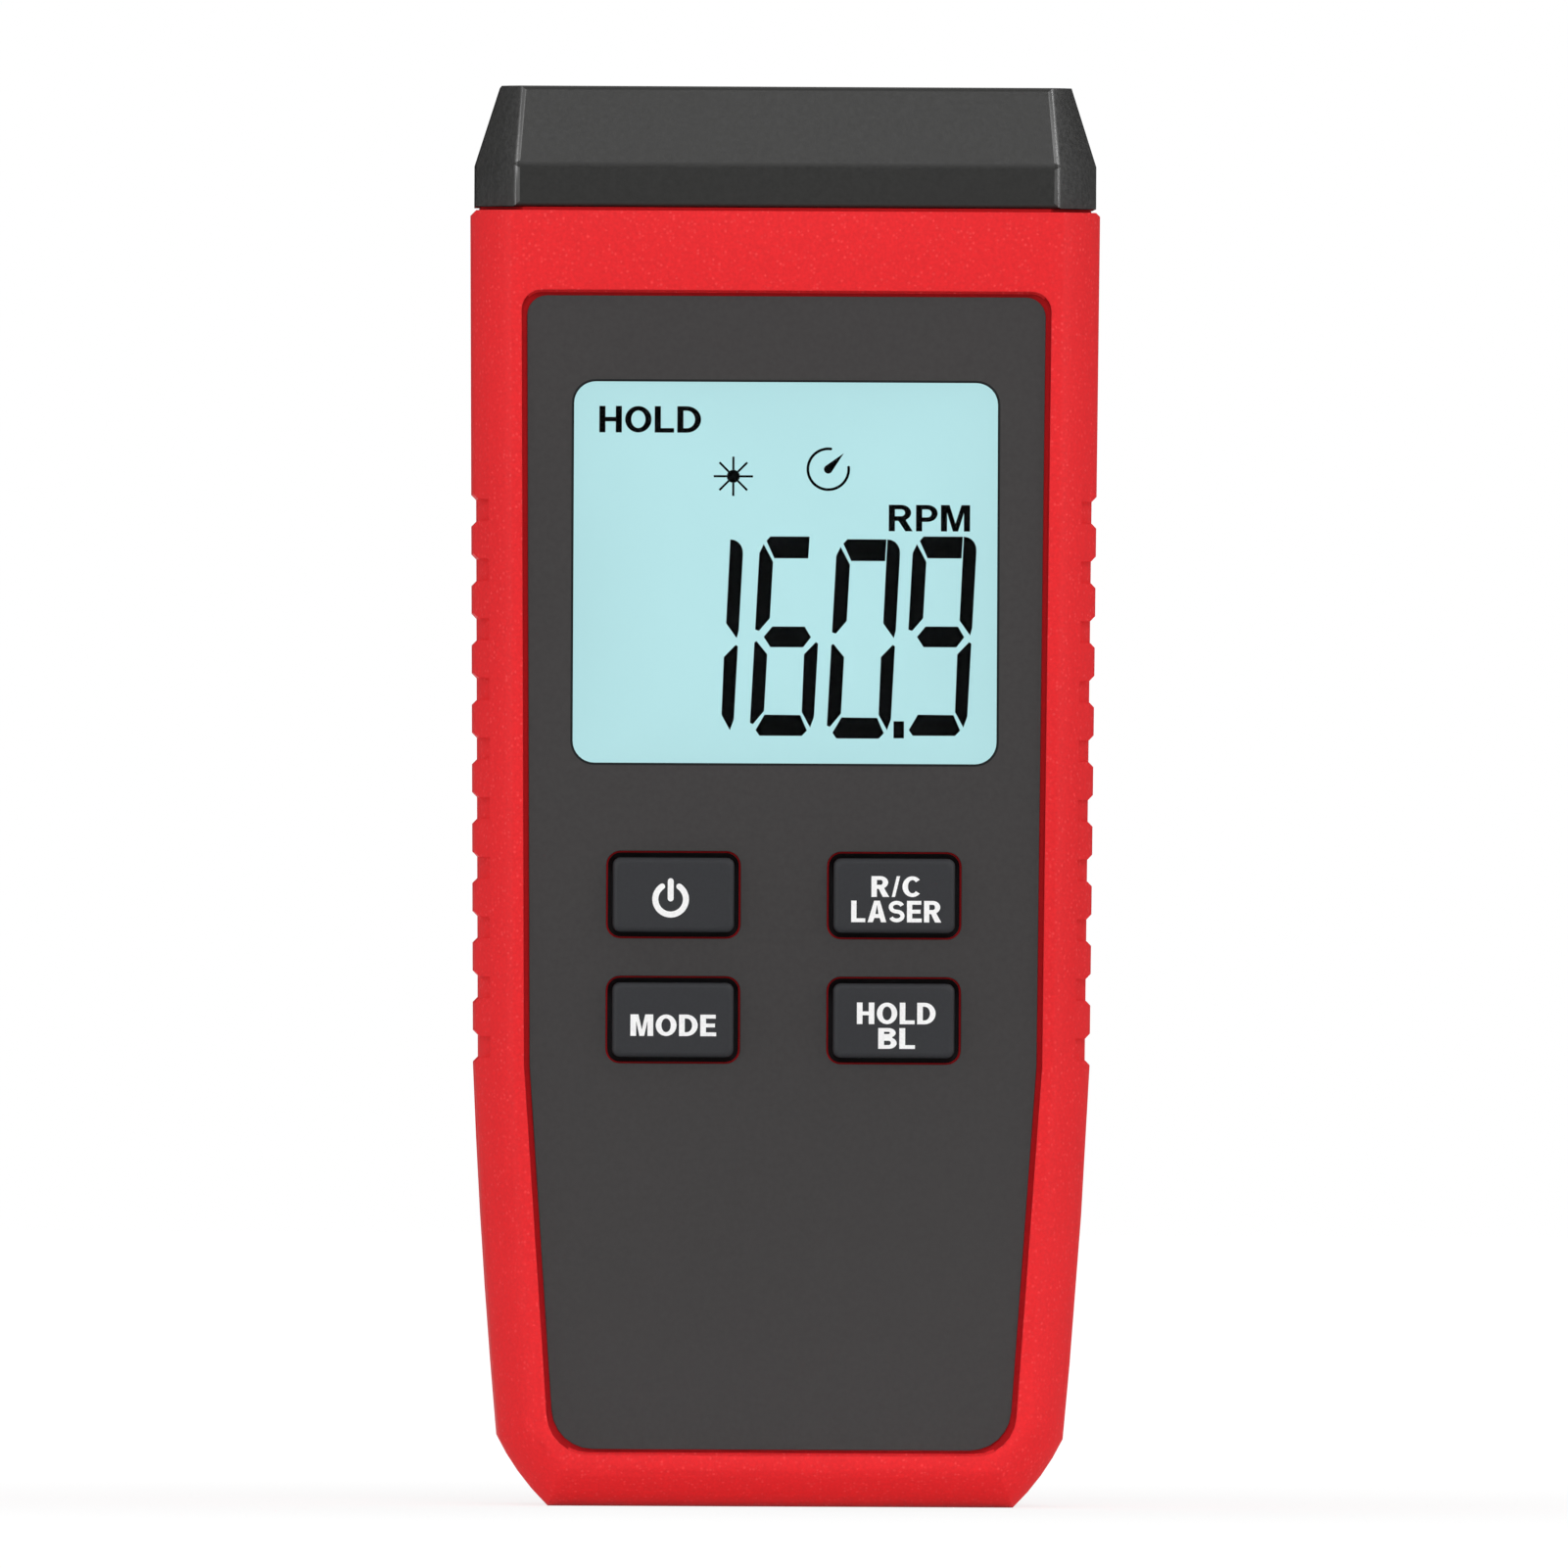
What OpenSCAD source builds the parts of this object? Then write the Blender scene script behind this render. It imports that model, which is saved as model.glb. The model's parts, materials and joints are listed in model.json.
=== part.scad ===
// Handheld laser tachometer: two moulded case halves, a dark optical head, a backlit display,
// four push keys, a bay for three slim cells and a tilting battery door.
// Millimetres. +Z up, +X to the right, the display faces -Y, the base stands on z = 0.

/* [Case] */
// Depth over everything, from the key tops to the back
depth = 29; // [28:0.5:34]
// Height of the case without its head
case_h = 118.6; // [115:0.2:126]
// Width of the case at its top edge
case_w = 57.5; // [56:0.1:62]
// Width at the end of the grip, where the taper starts
knee_w = 56.3; // [55:0.1:60]
// Height of that point
knee_z = 40.4; // [37:0.2:44]
// Width where the bottom corners start
foot_w = 51.7; // [50.5:0.1:54]
// Height of that point
foot_z = 6.3; // [5.5:0.1:7.5]
// Width of the flat base
base_w = 42.6; // [38:0.2:47]
// Outward bow of each tapered side
taper_bow = 0.22; // [0.05:0.01:0.4]
// Outward bow of each bottom corner
corner_bow = 0.35; // [0.1:0.05:0.7]
// Wall thickness of the mouldings
wall = 2; // [1.6:0.1:2.4]
// Width of the soft edge round the front and the back
edge_w = 3.6; // [2.8:0.1:3.8]
// Depth of that soft edge
edge_d = 5; // [4:0.1:6]
// Form of that soft edge: 1 is a flat chamfer, 2 a full round
edge_soft = 1.35; // [1.1:0.05:2]
// Depth of the groove along the parting line
seam = 0.25; // [0.1:0.05:0.4]
// Bevel at the upper end of each side
top_bevel = 0.35; // [0.2:0.05:0.7]

/* [Grip] */
// Number of notches on each side
notch_count = 10; // [6:1:10]
// Height of the middle of the lowest notch
notch_z = 42; // [41:0.1:46]
// Distance from notch to notch
notch_pitch = 5.46; // [4.8:0.02:5.8]
// Height of a notch's floor
notch_h = 2; // [1.4:0.1:2.4]
// Depth of a notch below the side
notch_d = 0.45; // [0.2:0.05:0.8]
// Reach of a notch over the front edge, in from the outline
notch_reach = 1.4; // [1:0.1:2]

/* [Face] */
// Distance of the face recess from the case's outline
face_inset = 4.45; // [4.4:0.05:5.4]
// Distance of the face recess below the top edge
face_drop = 7.3; // [6:0.1:9]
// Distance of the face recess above the base
face_foot = 4.75; // [4.4:0.05:5.4]
// Depth of the face recess below the rim
face_recess = 0.9; // [0.6:0.05:1.2]
// Corner radius at the top of the recess
face_top_r = 1.8; // [1:0.1:3]
// Corner radius at the bottom of the recess
face_foot_r = 3.8; // [2:0.1:6]
// Thickness of the wall behind the recess
front_wall = 2; // [1.7:0.1:2.6]
// Thickness of the face overlay
overlay_t = 0.4; // [0.2:0.05:0.55]
// Gap between the overlay and the edge of its recess
overlay_gap = 0.5; // [0.1:0.05:0.6]

/* [Display] */
// Width of the window in the overlay
window_w = 38.8; // [34:0.1:39.6]
// Height of the window
window_h = 34.9; // [30:0.1:36]
// Height of the window's middle above the base
window_z = 85.5; // [84:0.1:87]
// Corner radius of the window
window_r = 2; // [1:0.1:4]
// Overlap of the overlay on the edge of the clear lens
lens_lap = 1.5; // [1:0.1:1.8]
// Thickness of the clear lens
lens_t = 1.3; // [0.8:0.1:1.5]
// Width of the ledge that the lens sits on
lens_ledge = 1; // [0.6:0.1:1.4]
// Clearance round the lens, the display glass and the light guide
fit_gap = 0.1; // [0.05:0.05:0.2]
// Border of the display glass beyond the window
lcd_border = 2.6; // [2.2:0.1:3]
// Thickness of the display's two glass sheets together
lcd_t = 1.8; // [1.4:0.1:2.2]
// Height of the bare contact ledge at the display's upper and lower edge
lcd_ledge = 2.4; // [2:0.1:2.8]
// Thickness of the light guide
guide_t = 2.2; // [1.8:0.1:2.8]
// Wall of the display holder
holder_wall = 1.1; // [0.8:0.1:1.3]

/* [Keys] */
// Width of a key
key_w = 11.1; // [9:0.1:12]
// Height of a key
key_h = 6.8; // [5.5:0.1:7.2]
// Corner radius of a key
key_r = 0.7; // [0.5:0.1:2]
// Rounding of a key's top edge
key_soft = 0.5; // [0.4:0.1:1]
// Distance of the key columns in from the side of the case
key_side = 18.65; // [17.8:0.05:19.2]
// Height of the upper row of keys
key_z = 56; // [55.5:0.1:57]
// Distance between the rows of keys
key_pitch = 11.44; // [11:0.02:12]
// Height of the key tops above the case's rim
key_proud = 0.6; // [0.2:0.1:1]
// Clearance round a key in its opening
key_gap = 0.45; // [0.3:0.05:0.6]
// Margin of the overlay's cut-out round a key opening
key_margin = 0.15; // [0.1:0.05:0.4]
// Travel of a key
key_travel = 0.9; // [0.5:0.05:1]
// Overlap of a key's flange behind the case
flange_lap = 0.8; // [0.5:0.1:1]
// Thickness of a key's flange
flange_t = 1; // [0.8:0.1:1.2]
// Thickness of the keypad mat on the board
mat_t = 0.8; // [0.5:0.1:1]
// Diameter of the contact pill under a key
pill_d = 3.2; // [2.4:0.1:3.6]
// Thickness of that pill
pill_t = 0.4; // [0.3:0.05:0.5]

/* [Head] */
// Height of the dark head
cap_h = 11.05; // [9.5:0.05:13]
// Height of its upright lower band
cap_band = 3.85; // [3:0.05:4.5]
// Gap between the head and the case
cap_gap = 0.35; // [0.2:0.05:0.6]
// Setback of the head from the case's outline
cap_setback = 0.35; // [0.1:0.05:0.5]
// Inward slope of the head's two ends, from the band to the top
cap_lean_x = 2.3; // [1.4:0.1:3]
// Inward slope of the head's front and back, from the band to the top
cap_lean_y = 2.1; // [1.2:0.1:2.6]
// Width of the corner bevel at the band
cap_edge = 3.8; // [3:0.05:4.2]
// Width of the corner bevel at the top
cap_top_edge = 2.1; // [1.6:0.05:2.8]
// Setback of the lip that closes the gap, from the head's outline
lip_inset = 0.45; // [0.2:0.05:0.7]
// Length of the spigot inside the case
spigot_l = 4.2; // [3.6:0.1:4.6]
// Wall of the spigot
spigot_t = 1.4; // [1:0.1:1.8]
// Clearance between the spigot and the case
spigot_gap = 0.15; // [0.1:0.05:0.25]
// Height of the locking rib round the spigot
rib_h = 0.9; // [0.6:0.1:1.2]
// Reach of the locking rib into the case
rib_d = 0.7; // [0.4:0.1:0.9]

/* [Optics] */
// Gap between the receiver's tube and the main board
optics_gap = 0.5; // [0.3:0.1:1]
// Distance of the laser to the left of the middle
laser_x = 8; // [7.5:0.1:10]
// Distance of the receiver to the right of the middle
receiver_x = 6.5; // [6:0.1:9]
// Diameter of the receiver lens
receiver_d = 11; // [9:0.1:12]
// Edge thickness of the receiver lens
receiver_t = 1.4; // [1:0.1:2]
// Height of the receiver lens's dome
receiver_dome = 1.5; // [0.8:0.1:1.8]
// Overlap of the head on the edge of the receiver lens
receiver_lip = 0.6; // [0.4:0.1:1]
// Diameter of the laser module's tube
laser_d = 6; // [5:0.1:6.6]
// Length of the laser module's tube
laser_l = 15; // [12:0.5:16]
// Diameter of the opening for the laser beam
beam_d = 3.2; // [2:0.1:3.6]
// Flare of the openings in the top of the head
port_flare = 1; // [0.4:0.1:1.2]
// Wall of the optics block round its bores
block_wall = 1.2; // [0.9:0.1:1.6]
// Height of the optics block's foot on the board
block_foot = 12; // [10:0.5:13]

/* [Board] */
// Thickness of the main board
board_t = 1.6; // [1:0.1:2]
// Gap between the board and the foot of the case
board_inset = 1.4; // [1:0.1:2]
// Height of the board's lower edge
board_z = 6; // [5.5:0.1:7]
// Distance of the board's upper edge below the top of the case
board_drop = 2.6; // [2:0.1:4]
// Diameter of the controller's resin dome
chip_d = 14; // [10:0.5:16]
// Height of that dome
chip_dome = 1.6; // [1:0.1:2]
// Width of the amplifier chip
amp_w = 5; // [4:0.1:6]
// Height of the amplifier chip
amp_h = 4; // [3:0.1:5]
// Thickness of the amplifier chip
amp_t = 1.5; // [1:0.1:2]
// Width of the timing crystal's can
crystal_w = 10.5; // [9:0.1:12]
// Height of that can
crystal_h = 4.4; // [3.6:0.1:5]
// Thickness of that can
crystal_t = 3.5; // [3:0.1:4]

/* [Battery] */
// Diameter of a cell
cell_d = 10.5; // [9.5:0.1:11]
// Length of a cell over its nub
cell_l = 44.5; // [42:0.1:46]
// Diameter of a cell's nub
nub_d = 3.8; // [3:0.1:4.5]
// Height of a cell's nub
nub_h = 0.9; // [0.6:0.1:1.2]
// Clearance round a cell
cell_gap = 0.3; // [0.2:0.05:0.4]
// Height of the battery bay's lower end
bay_z = 9.6; // [9:0.1:10.5]
// Wall of the battery bay
bay_wall = 1.2; // [1:0.1:1.5]
// Thickness of the contact plates
plate_t = 0.4; // [0.3:0.05:0.6]
// Height of a contact spring
spring_l = 3.4; // [3:0.1:4]
// Wire of a contact spring
spring_wire = 0.6; // [0.4:0.05:0.7]
// Turns of a contact spring
spring_turns = 3; // [2:0.5:3]
// Thickness of the battery door
door_t = 2; // [1.6:0.1:2.4]
// Gap round the battery door
door_gap = 0.2; // [0.15:0.05:0.35]
// Gap between the door and its seat
door_seat = 0.1; // [0.05:0.05:0.2]
// Height of the door's screw tab above the bay
door_tab = 6.4; // [6:0.1:8]
// Distance of the door's two tongues from the middle
tongue_x = 5.45; // [5:0.05:6]
// Width of a tongue
tongue_w = 4.4; // [3:0.1:5]
// Length of a tongue below the door
tongue_l = 1.5; // [1:0.1:1.8]
// Thickness of a tongue
tongue_t = 1.2; // [0.8:0.1:1.4]
// Number of thumb grooves in the door
groove_count = 4; // [2:1:6]
// Width of the thumb grooves
groove_w = 14; // [8:0.5:20]
// Height of a thumb groove
groove_h = 1.2; // [0.8:0.1:1.6]
// Depth of a thumb groove
groove_d = 0.5; // [0.2:0.1:0.7]

/* [Fasteners] */
// Distance of the case screws in from the side
post_inset = 6.2; // [5.8:0.1:6.6]
// Height of the lower case screws
post_z = 13.5; // [12:0.1:15]
// Distance of the upper case screws below the top of the case
post_drop = 8; // [7.8:0.1:9]
// Diameter of the posts round the case screws
post_d = 6.2; // [5.6:0.1:6.6]
// Diameter of the screws
screw_d = 2.2; // [1.8:0.1:2.6]
// Diameter of the screw heads
head_d = 4.1; // [3.6:0.1:4.3]
// Height of the screw heads
head_h = 1.6; // [1.2:0.1:2]
// Clearance round a screw's head and shank in a through hole
screw_gap = 0.3; // [0.2:0.05:0.4]
// Thickness of the post floor that a case screw's head bears on
post_floor = 3; // [2:0.1:4]
// Length of the door screw below its head
door_screw_l = 4.2; // [3.6:0.1:5]

/* [Hidden] */
$fn = 48;

// Slices of the lofted shells, and the steps along their curves
slice = 0.01;
edge_steps = 8;
taper_steps = 5;
corner_steps = 4;
fillet_steps = 6;
// How far a cut runs past the face that it opens
past = 1;

// Outline of the case
top_half = case_w / 2;
knee = [knee_w / 2, knee_z];
foot = [foot_w / 2, foot_z];
base = [base_w / 2, 0];

// Planes through the depth, from the key tops to the back
y_key = -depth / 2;
y_back = depth / 2;
y_rim = y_key + key_proud;
y_floor = y_rim + face_recess;
y_wall = y_floor + front_wall;
y_lcd = y_wall + lcd_t;
y_board = y_lcd + guide_t;
y_parts = y_board + board_t;

// Inner edge of the shell, parallel to the soft outer edge
edge_span = norm([edge_w, edge_d]);
inner_shift = wall * edge_span / edge_d;
shoulder_d = edge_d + (inner_shift - wall) * edge_d / edge_w;

// Display sheets
lens_w = window_w + 2 * lens_lap;
lens_h = window_h + 2 * lens_lap;
lcd_w = window_w + 2 * lcd_border;
lcd_h = window_h + 2 * lcd_border;
guide_h = lcd_h - 2 * lcd_ledge - 2 * holder_wall;
strip_h = lcd_ledge - 4 * fit_gap;
strip_z = lcd_h / 2 - lcd_ledge / 2;
led_w = 1.2;
led_h = 3;
led_z = 9;
led_gap = 0.4;

// Keys
key_x = top_half - key_side;
keys = [[-key_x, key_z], [key_x, key_z], [-key_x, key_z - key_pitch], [key_x, key_z - key_pitch]];
flange_gap = 0.1;
y_flange = y_wall + flange_gap;
contact_gap = 0.05;
y_pill = y_board - contact_gap - key_travel;
y_stem = y_pill - pill_t;
stem_rim = [1, 0.3];
stem_w = pill_d + 2 * stem_rim.x;
stem_h = pill_d + 2 * stem_rim.y;
stem_r = 0.8;
key_steps = 5;
mat_border = 1.6;
mat_r = 2;
collar_wall = 1.1;
collar_r = 1;

// Head
cap_z = case_h + cap_gap;
cap_top = cap_z + cap_h;
cap_half = top_half - cap_setback;
cap_front = y_rim + cap_setback;
cap_back = y_back - cap_setback;
rib_z = case_h - spigot_l / 2;
rib_slack = 0.1;
lip_play = 0.05;

// Optics
optics_y = y_parts + receiver_d / 2 + block_wall / 2 + optics_gap;
port_z = cap_top - wall;
receiver_z = port_z - receiver_t;
block_z = case_h - board_drop - block_foot;
block_half = max(receiver_d / 2, laser_d / 2 + block_wall) + block_wall;
tube_gap = 0.05;
laser_z = port_z - tube_gap - laser_l;
sensor_w = 4.6;
sensor_h = 2;
sensor_lift = 3;
sensor_z = block_z + sensor_lift;
lead = 0.5;
lead_drop = 2;
laser_wall = 0.4;
laser_nose = 1.4;
laser_bore = laser_d - 2 * laser_wall;
laser_lens_t = 2;
diode_flange = 1;
diode_can_h = 3;
diode_gap = 0.3;
lens_facets = 96;
peg_d = 2;
peg_x = 1.6;
peg_mid = (receiver_x - laser_x) / 2;

// Parts on the board
board_r = 2;
part_gap = 2;
pin_w = 0.5;
pin_l = 1;
pin_pitch = 1.25;
amp_lift = 0.15;

// Battery bay, from the back forwards
y_door = y_back - door_t;
y_seat = y_door - door_seat;
y_cell = y_seat - cell_gap - cell_d / 2;
y_bay = y_cell - cell_d / 2 - cell_gap;
cell_pitch = cell_d + cell_gap;
bay_half = cell_pitch + cell_d / 2 + cell_gap;
bay_top = bay_z + 2 * plate_t + spring_l + cell_l;
cell_edge = 0.5;
plate_margin = 1.05;
plate_gap = 0.4;
plate_w = cell_d - 2 * plate_margin;
plate_y = y_bay + plate_gap;
tail_w = 3;
coil_r = 3.55;
coil_top_r = 2.1;
coil_touch = 0.02;
coil_sides = 8;
coil_rings = 16;
door_lap = 0.96;
door_half = bay_half + door_lap;
door_z = bay_z - door_lap;
door_top = bay_top + door_tab;
door_screw_z = bay_top + door_tab / 2;
door_r = 1.2;
groove_r = (groove_h * groove_h / 4 + groove_d * groove_d) / (2 * groove_d);
tongue_room = 0.35;
shelf_t = 3.4;

// Screws
post_top = case_h - post_drop;
posts = [[side_half(post_z) - post_inset, post_z], [side_half(post_top) - post_inset, post_top]];
y_post = y_parts + post_floor;
pilot_gap = 0.05;
boss_floor = 0.6;
tip_gap = 0.4;
cross_w = 0.75;
cross_l = 2.5;
cross_d = 1.2;

red = [0.91, 0.2, 0.22];
dark = [0.27, 0.27, 0.27];
grey = [0.26, 0.255, 0.255];
clear = [0.85, 0.93, 0.94, 0.4];
steel = [0.75, 0.75, 0.76];
gold = [0.8, 0.64, 0.3];

// Half width of the case at a height
function side_half(z) =
    z >= knee.y ? knee.x + (top_half - knee.x) * (z - knee.y) / (case_h - knee.y)
    : let (t = (knee.y - z) / (knee.y - foot.y))
        knee.x + (foot.x - knee.x) * t + 4 * taper_bow * t * (1 - t);

// Points from p to q along a line that bows outwards, the first point left out
function bowed(p, q, bow, steps) =
    let (d = q - p, out = [-d.y, d.x] / norm(d))
    [for (i = [1:steps]) let (t = i / steps) p + d * t + out * 4 * bow * t * (1 - t)];

// Right side of the case's outline, from the given height down to the base
function right_side(top) = concat(
    [[side_half(top) - top_bevel, top], [side_half(top - top_bevel), top - top_bevel], knee],
    bowed(knee, foot, taper_bow, taper_steps),
    bowed(foot, base, corner_bow, corner_steps)
);

// The points of one side and of its mirror image, as one closed outline
function both_sides(side) = concat(side, [for (i = [len(side) - 1:-1:0]) [-side[i].x, side[i].y]]);

// Points [inset, depth] across an edge between a chamfer (n = 1) and a round (n = 2)
function soft_edge(w, d, n, steps) =
    [for (i = [0:steps]) let (a = 90 * i / steps)
        [w * (1 - pow(sin(a), 2 / n)), d * (1 - pow(cos(a), 2 / n))]];

// Arc of radius r in the corner at b between its neighbours a and c
function fillet(a, b, c, r) =
    let (
        u = (a - b) / norm(a - b),
        v = (c - b) / norm(c - b),
        half = acos(u * v) / 2,
        centre = b + (u + v) / norm(u + v) * r / sin(half),
        start = b + u * r / tan(half) - centre,
        sweep = sign(cross(b - a, c - b)) * (180 - 2 * half)
    )
    [for (i = [0:fillet_steps]) let (t = sweep * i / fillet_steps)
        centre + [start.x * cos(t) - start.y * sin(t), start.x * sin(t) + start.y * cos(t)]];

// Outline of the face recess, drawn in by a clearance
function face_outline(gap) =
    let (
        inset = face_inset + gap,
        top = case_h - face_drop - gap,
        low = face_foot + gap,
        c1 = [side_half(top) - inset, top],
        c2 = [knee.x - inset, knee.y],
        c3 = [side_half(low) - inset, low],
        mid = [0, low],
        over = [0, top]
    )
    both_sides(concat(fillet(over, c1, c2, face_top_r), [c2], fillet(c2, c3, mid, face_foot_r)));

// Section of the space inside the case, seen from above, drawn in by a clearance
function inner_section(gap) =
    let (
        half = top_half - gap,
        corner_f = edge_w + inner_shift - (y_wall - y_rim) * edge_w / edge_d,
        corner_b = edge_w + inner_shift - wall * edge_w / edge_d
    )
    both_sides([
        [half - corner_f, y_wall + gap],
        [half - wall, y_rim + shoulder_d + gap / 2],
        [half - wall, y_back - shoulder_d - gap / 2],
        [half - corner_b, y_back - wall - gap]
    ]);

// Section of the head, seen from above
function cap_section(lean_x, lean_y, edge, inset) =
    let (half = cap_half - lean_x - inset, run = edge * edge_d / cap_edge)
    both_sides([
        [half - edge, cap_front + lean_y + inset],
        [half, cap_front + lean_y + inset + run],
        [half, cap_back - lean_y - inset - run],
        [half - edge, cap_back - lean_y - inset]
    ]);

// A drawing in the XZ plane made solid from y0 to y1
module upright(y0, y1) {
    translate([0, y1, 0]) rotate([90, 0, 0]) linear_extrude(y1 - y0) children();
}

// A round rod along Y
module rod(p, y0, y1, d) {
    translate([p.x, y1, p.y]) rotate([90, 0, 0]) cylinder(d = d, h = y1 - y0);
}

// A rectangle with round corners, about its middle
module rounded(w, h, r) {
    x = w / 2;
    y = h / 2;
    polygon(concat(
        fillet([-x, y], [x, y], [x, -y], r),
        fillet([x, y], [x, -y], [-x, -y], r),
        fillet([x, -y], [-x, -y], [-x, y], r),
        fillet([-x, -y], [-x, y], [x, y], r)
    ));
}

// A shell form lofted through the case's outline at each [inset, y]
module loft(profile, extra, over) {
    hull() {
        for (p = profile) {
            upright(p.y, p.y + slice) offset(delta = -p.x - extra)
                polygon(both_sides(right_side(case_h + over + p.x + extra)));
        }
    }
}

module front_form(extra) {
    edge = soft_edge(edge_w, edge_d, edge_soft, edge_steps);
    loft(concat([for (p = edge) [p.x, y_rim + p.y]], [[0, -seam], [seam, -slice]]), extra, 0);
}

module rear_form(extra) {
    edge = soft_edge(edge_w, edge_d, edge_soft, edge_steps);
    loft(concat([[seam, 0], [0, seam]], [for (p = edge) [p.x, y_back - slice - p.y]]), extra, 0);
}

module front_space() {
    corner = edge_w + inner_shift - (y_wall - y_rim) * edge_w / edge_d;
    loft([[corner, y_wall], [wall, y_rim + shoulder_d], [wall, past]], 0, past);
}

module rear_space() {
    corner = edge_w + inner_shift - wall * edge_w / edge_d;
    loft([[wall, -past], [wall, y_back - shoulder_d], [corner, y_back - wall]], 0, past);
}

// Both sides' rows of notches as bars from y0 to y1
module notch_bars(y0, y1) {
    half = notch_h / 2;
    for (s = [-1, 1], i = [0:notch_count - 1]) {
        z = notch_z + i * notch_pitch;
        x = side_half(z);
        upright(y0, y1) polygon([
            [s * (x + notch_d), z + half + 2 * notch_d],
            [s * (x - notch_d), z + half],
            [s * (x - notch_reach), z + half],
            [s * (x - notch_reach), z - half],
            [s * (x - notch_d), z - half],
            [s * (x + notch_d), z - half - 2 * notch_d]
        ]);
    }
}

// Groove inside the case for the head's locking rib
module rib_groove() {
    translate([0, 0, rib_z - rib_h / 2 - rib_slack]) linear_extrude(rib_h + 2 * rib_slack)
        polygon(inner_section(spigot_gap - rib_d - rib_slack));
}

// Lip on the case's top edge from y0 to y1, which closes the gap below the head
module top_lip(y0, y1) {
    intersection() {
        translate([0, 0, case_h - wall]) linear_extrude(wall + cap_gap - lip_play) difference() {
            polygon(cap_section(0, 0, cap_edge, lip_inset));
            polygon(inner_section(0));
        }
        translate([-case_w / 2, y0, 0]) cube([case_w, y1 - y0, cap_top]);
    }
}

// The same thing at each of the four case screws
module at_posts() {
    for (s = [-1, 1], p = posts) {
        translate([s * p.x, 0, p.y]) children();
    }
}

module front_case() {
    color(red) difference() {
        union() {
            difference() {
                front_form(0);
                front_space();
            }
            top_lip(y_rim, 0);
            at_posts() rod([0, 0], y_wall - front_wall / 2, y_board, post_d);
        }
        upright(y_rim - past, y_floor) polygon(face_outline(0));
        translate([0, 0, window_z]) {
            upright(y_rim - past, y_floor + lens_t)
                rounded(lens_w + 2 * fit_gap, lens_h + 2 * fit_gap, window_r);
            upright(y_rim - past, y_wall + past)
                rounded(lens_w - 2 * lens_ledge, lens_h - 2 * lens_ledge, window_r);
        }
        for (p = keys) {
            translate([p.x, 0, p.y]) upright(y_rim - past, y_wall + past)
                rounded(key_w + 2 * key_gap, key_h + 2 * key_gap, key_r + key_gap);
        }
        difference() {
            notch_bars(y_rim - past, past);
            front_form(notch_d);
        }
        at_posts() rod([0, 0], y_wall + boss_floor, y_board + past, screw_d + 2 * pilot_gap);
        rib_groove();
    }
}

// Tub of the battery bay with its shelf and the frame round its door, before it is hollowed
module bay_block() {
    outer = bay_half + bay_wall;
    frame = door_gap + bay_wall;
    upright(y_bay - bay_wall, y_seat) translate([-outer, door_z - bay_wall])
        square([2 * outer, bay_top + bay_wall - door_z + bay_wall]);
    upright(y_seat - shelf_t, y_seat) translate([-outer, bay_top])
        square([2 * outer, door_tab + bay_wall]);
    upright(y_seat - bay_wall, y_back - wall / 2) translate([0, (door_z + door_top) / 2])
        rounded(2 * (door_half + frame), door_top - door_z + 2 * frame, door_r + frame);
    rod([0, door_screw_z], y_bay - bay_wall, y_seat, post_d);
}

module rear_case() {
    color(red) difference() {
        union() {
            difference() {
                rear_form(0);
                rear_space();
            }
            top_lip(0, y_back);
            bay_block();
            at_posts() rod([0, 0], y_parts, y_back - wall / 2, post_d);
        }
        upright(y_bay, y_seat + past) translate([-bay_half, bay_z])
            square([2 * bay_half, bay_top - bay_z]);
        upright(y_seat, y_back + past) translate([0, (door_z + door_top) / 2])
            rounded(2 * (door_half + door_gap), door_top - door_z + 2 * door_gap, door_r + door_gap);
        for (s = [-1, 1]) {
            upright(y_door - tongue_t - 3 * tongue_room, y_door)
                translate([s * tongue_x - tongue_w / 2 - tongue_room, door_z - tongue_l - tongue_room])
                square([tongue_w + 2 * tongue_room, bay_z + past - door_z + tongue_l + tongue_room]);
        }
        rod([0, door_screw_z], y_door - door_screw_l, y_back, screw_d + 4 * screw_gap);
        at_posts() {
            rod([0, 0], y_parts - past, y_back, screw_d + 2 * screw_gap);
            rod([0, 0], y_post, y_back + past, head_d + 2 * screw_gap);
        }
        tail_slot(-cell_pitch, bay_top - plate_t);
        tail_slot(cell_pitch, bay_z);
        difference() {
            notch_bars(-past, y_back + past);
            rear_form(notch_d);
        }
        rib_groove();
    }
}

// Slot in the bay's floor for the tail of a contact plate
module tail_slot(x, z) {
    upright(y_bay - bay_wall - past, y_bay + past) translate([x - tail_w / 2 - fit_gap, z - fit_gap])
        square([tail_w + 2 * fit_gap, plate_t + 2 * fit_gap]);
}

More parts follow.
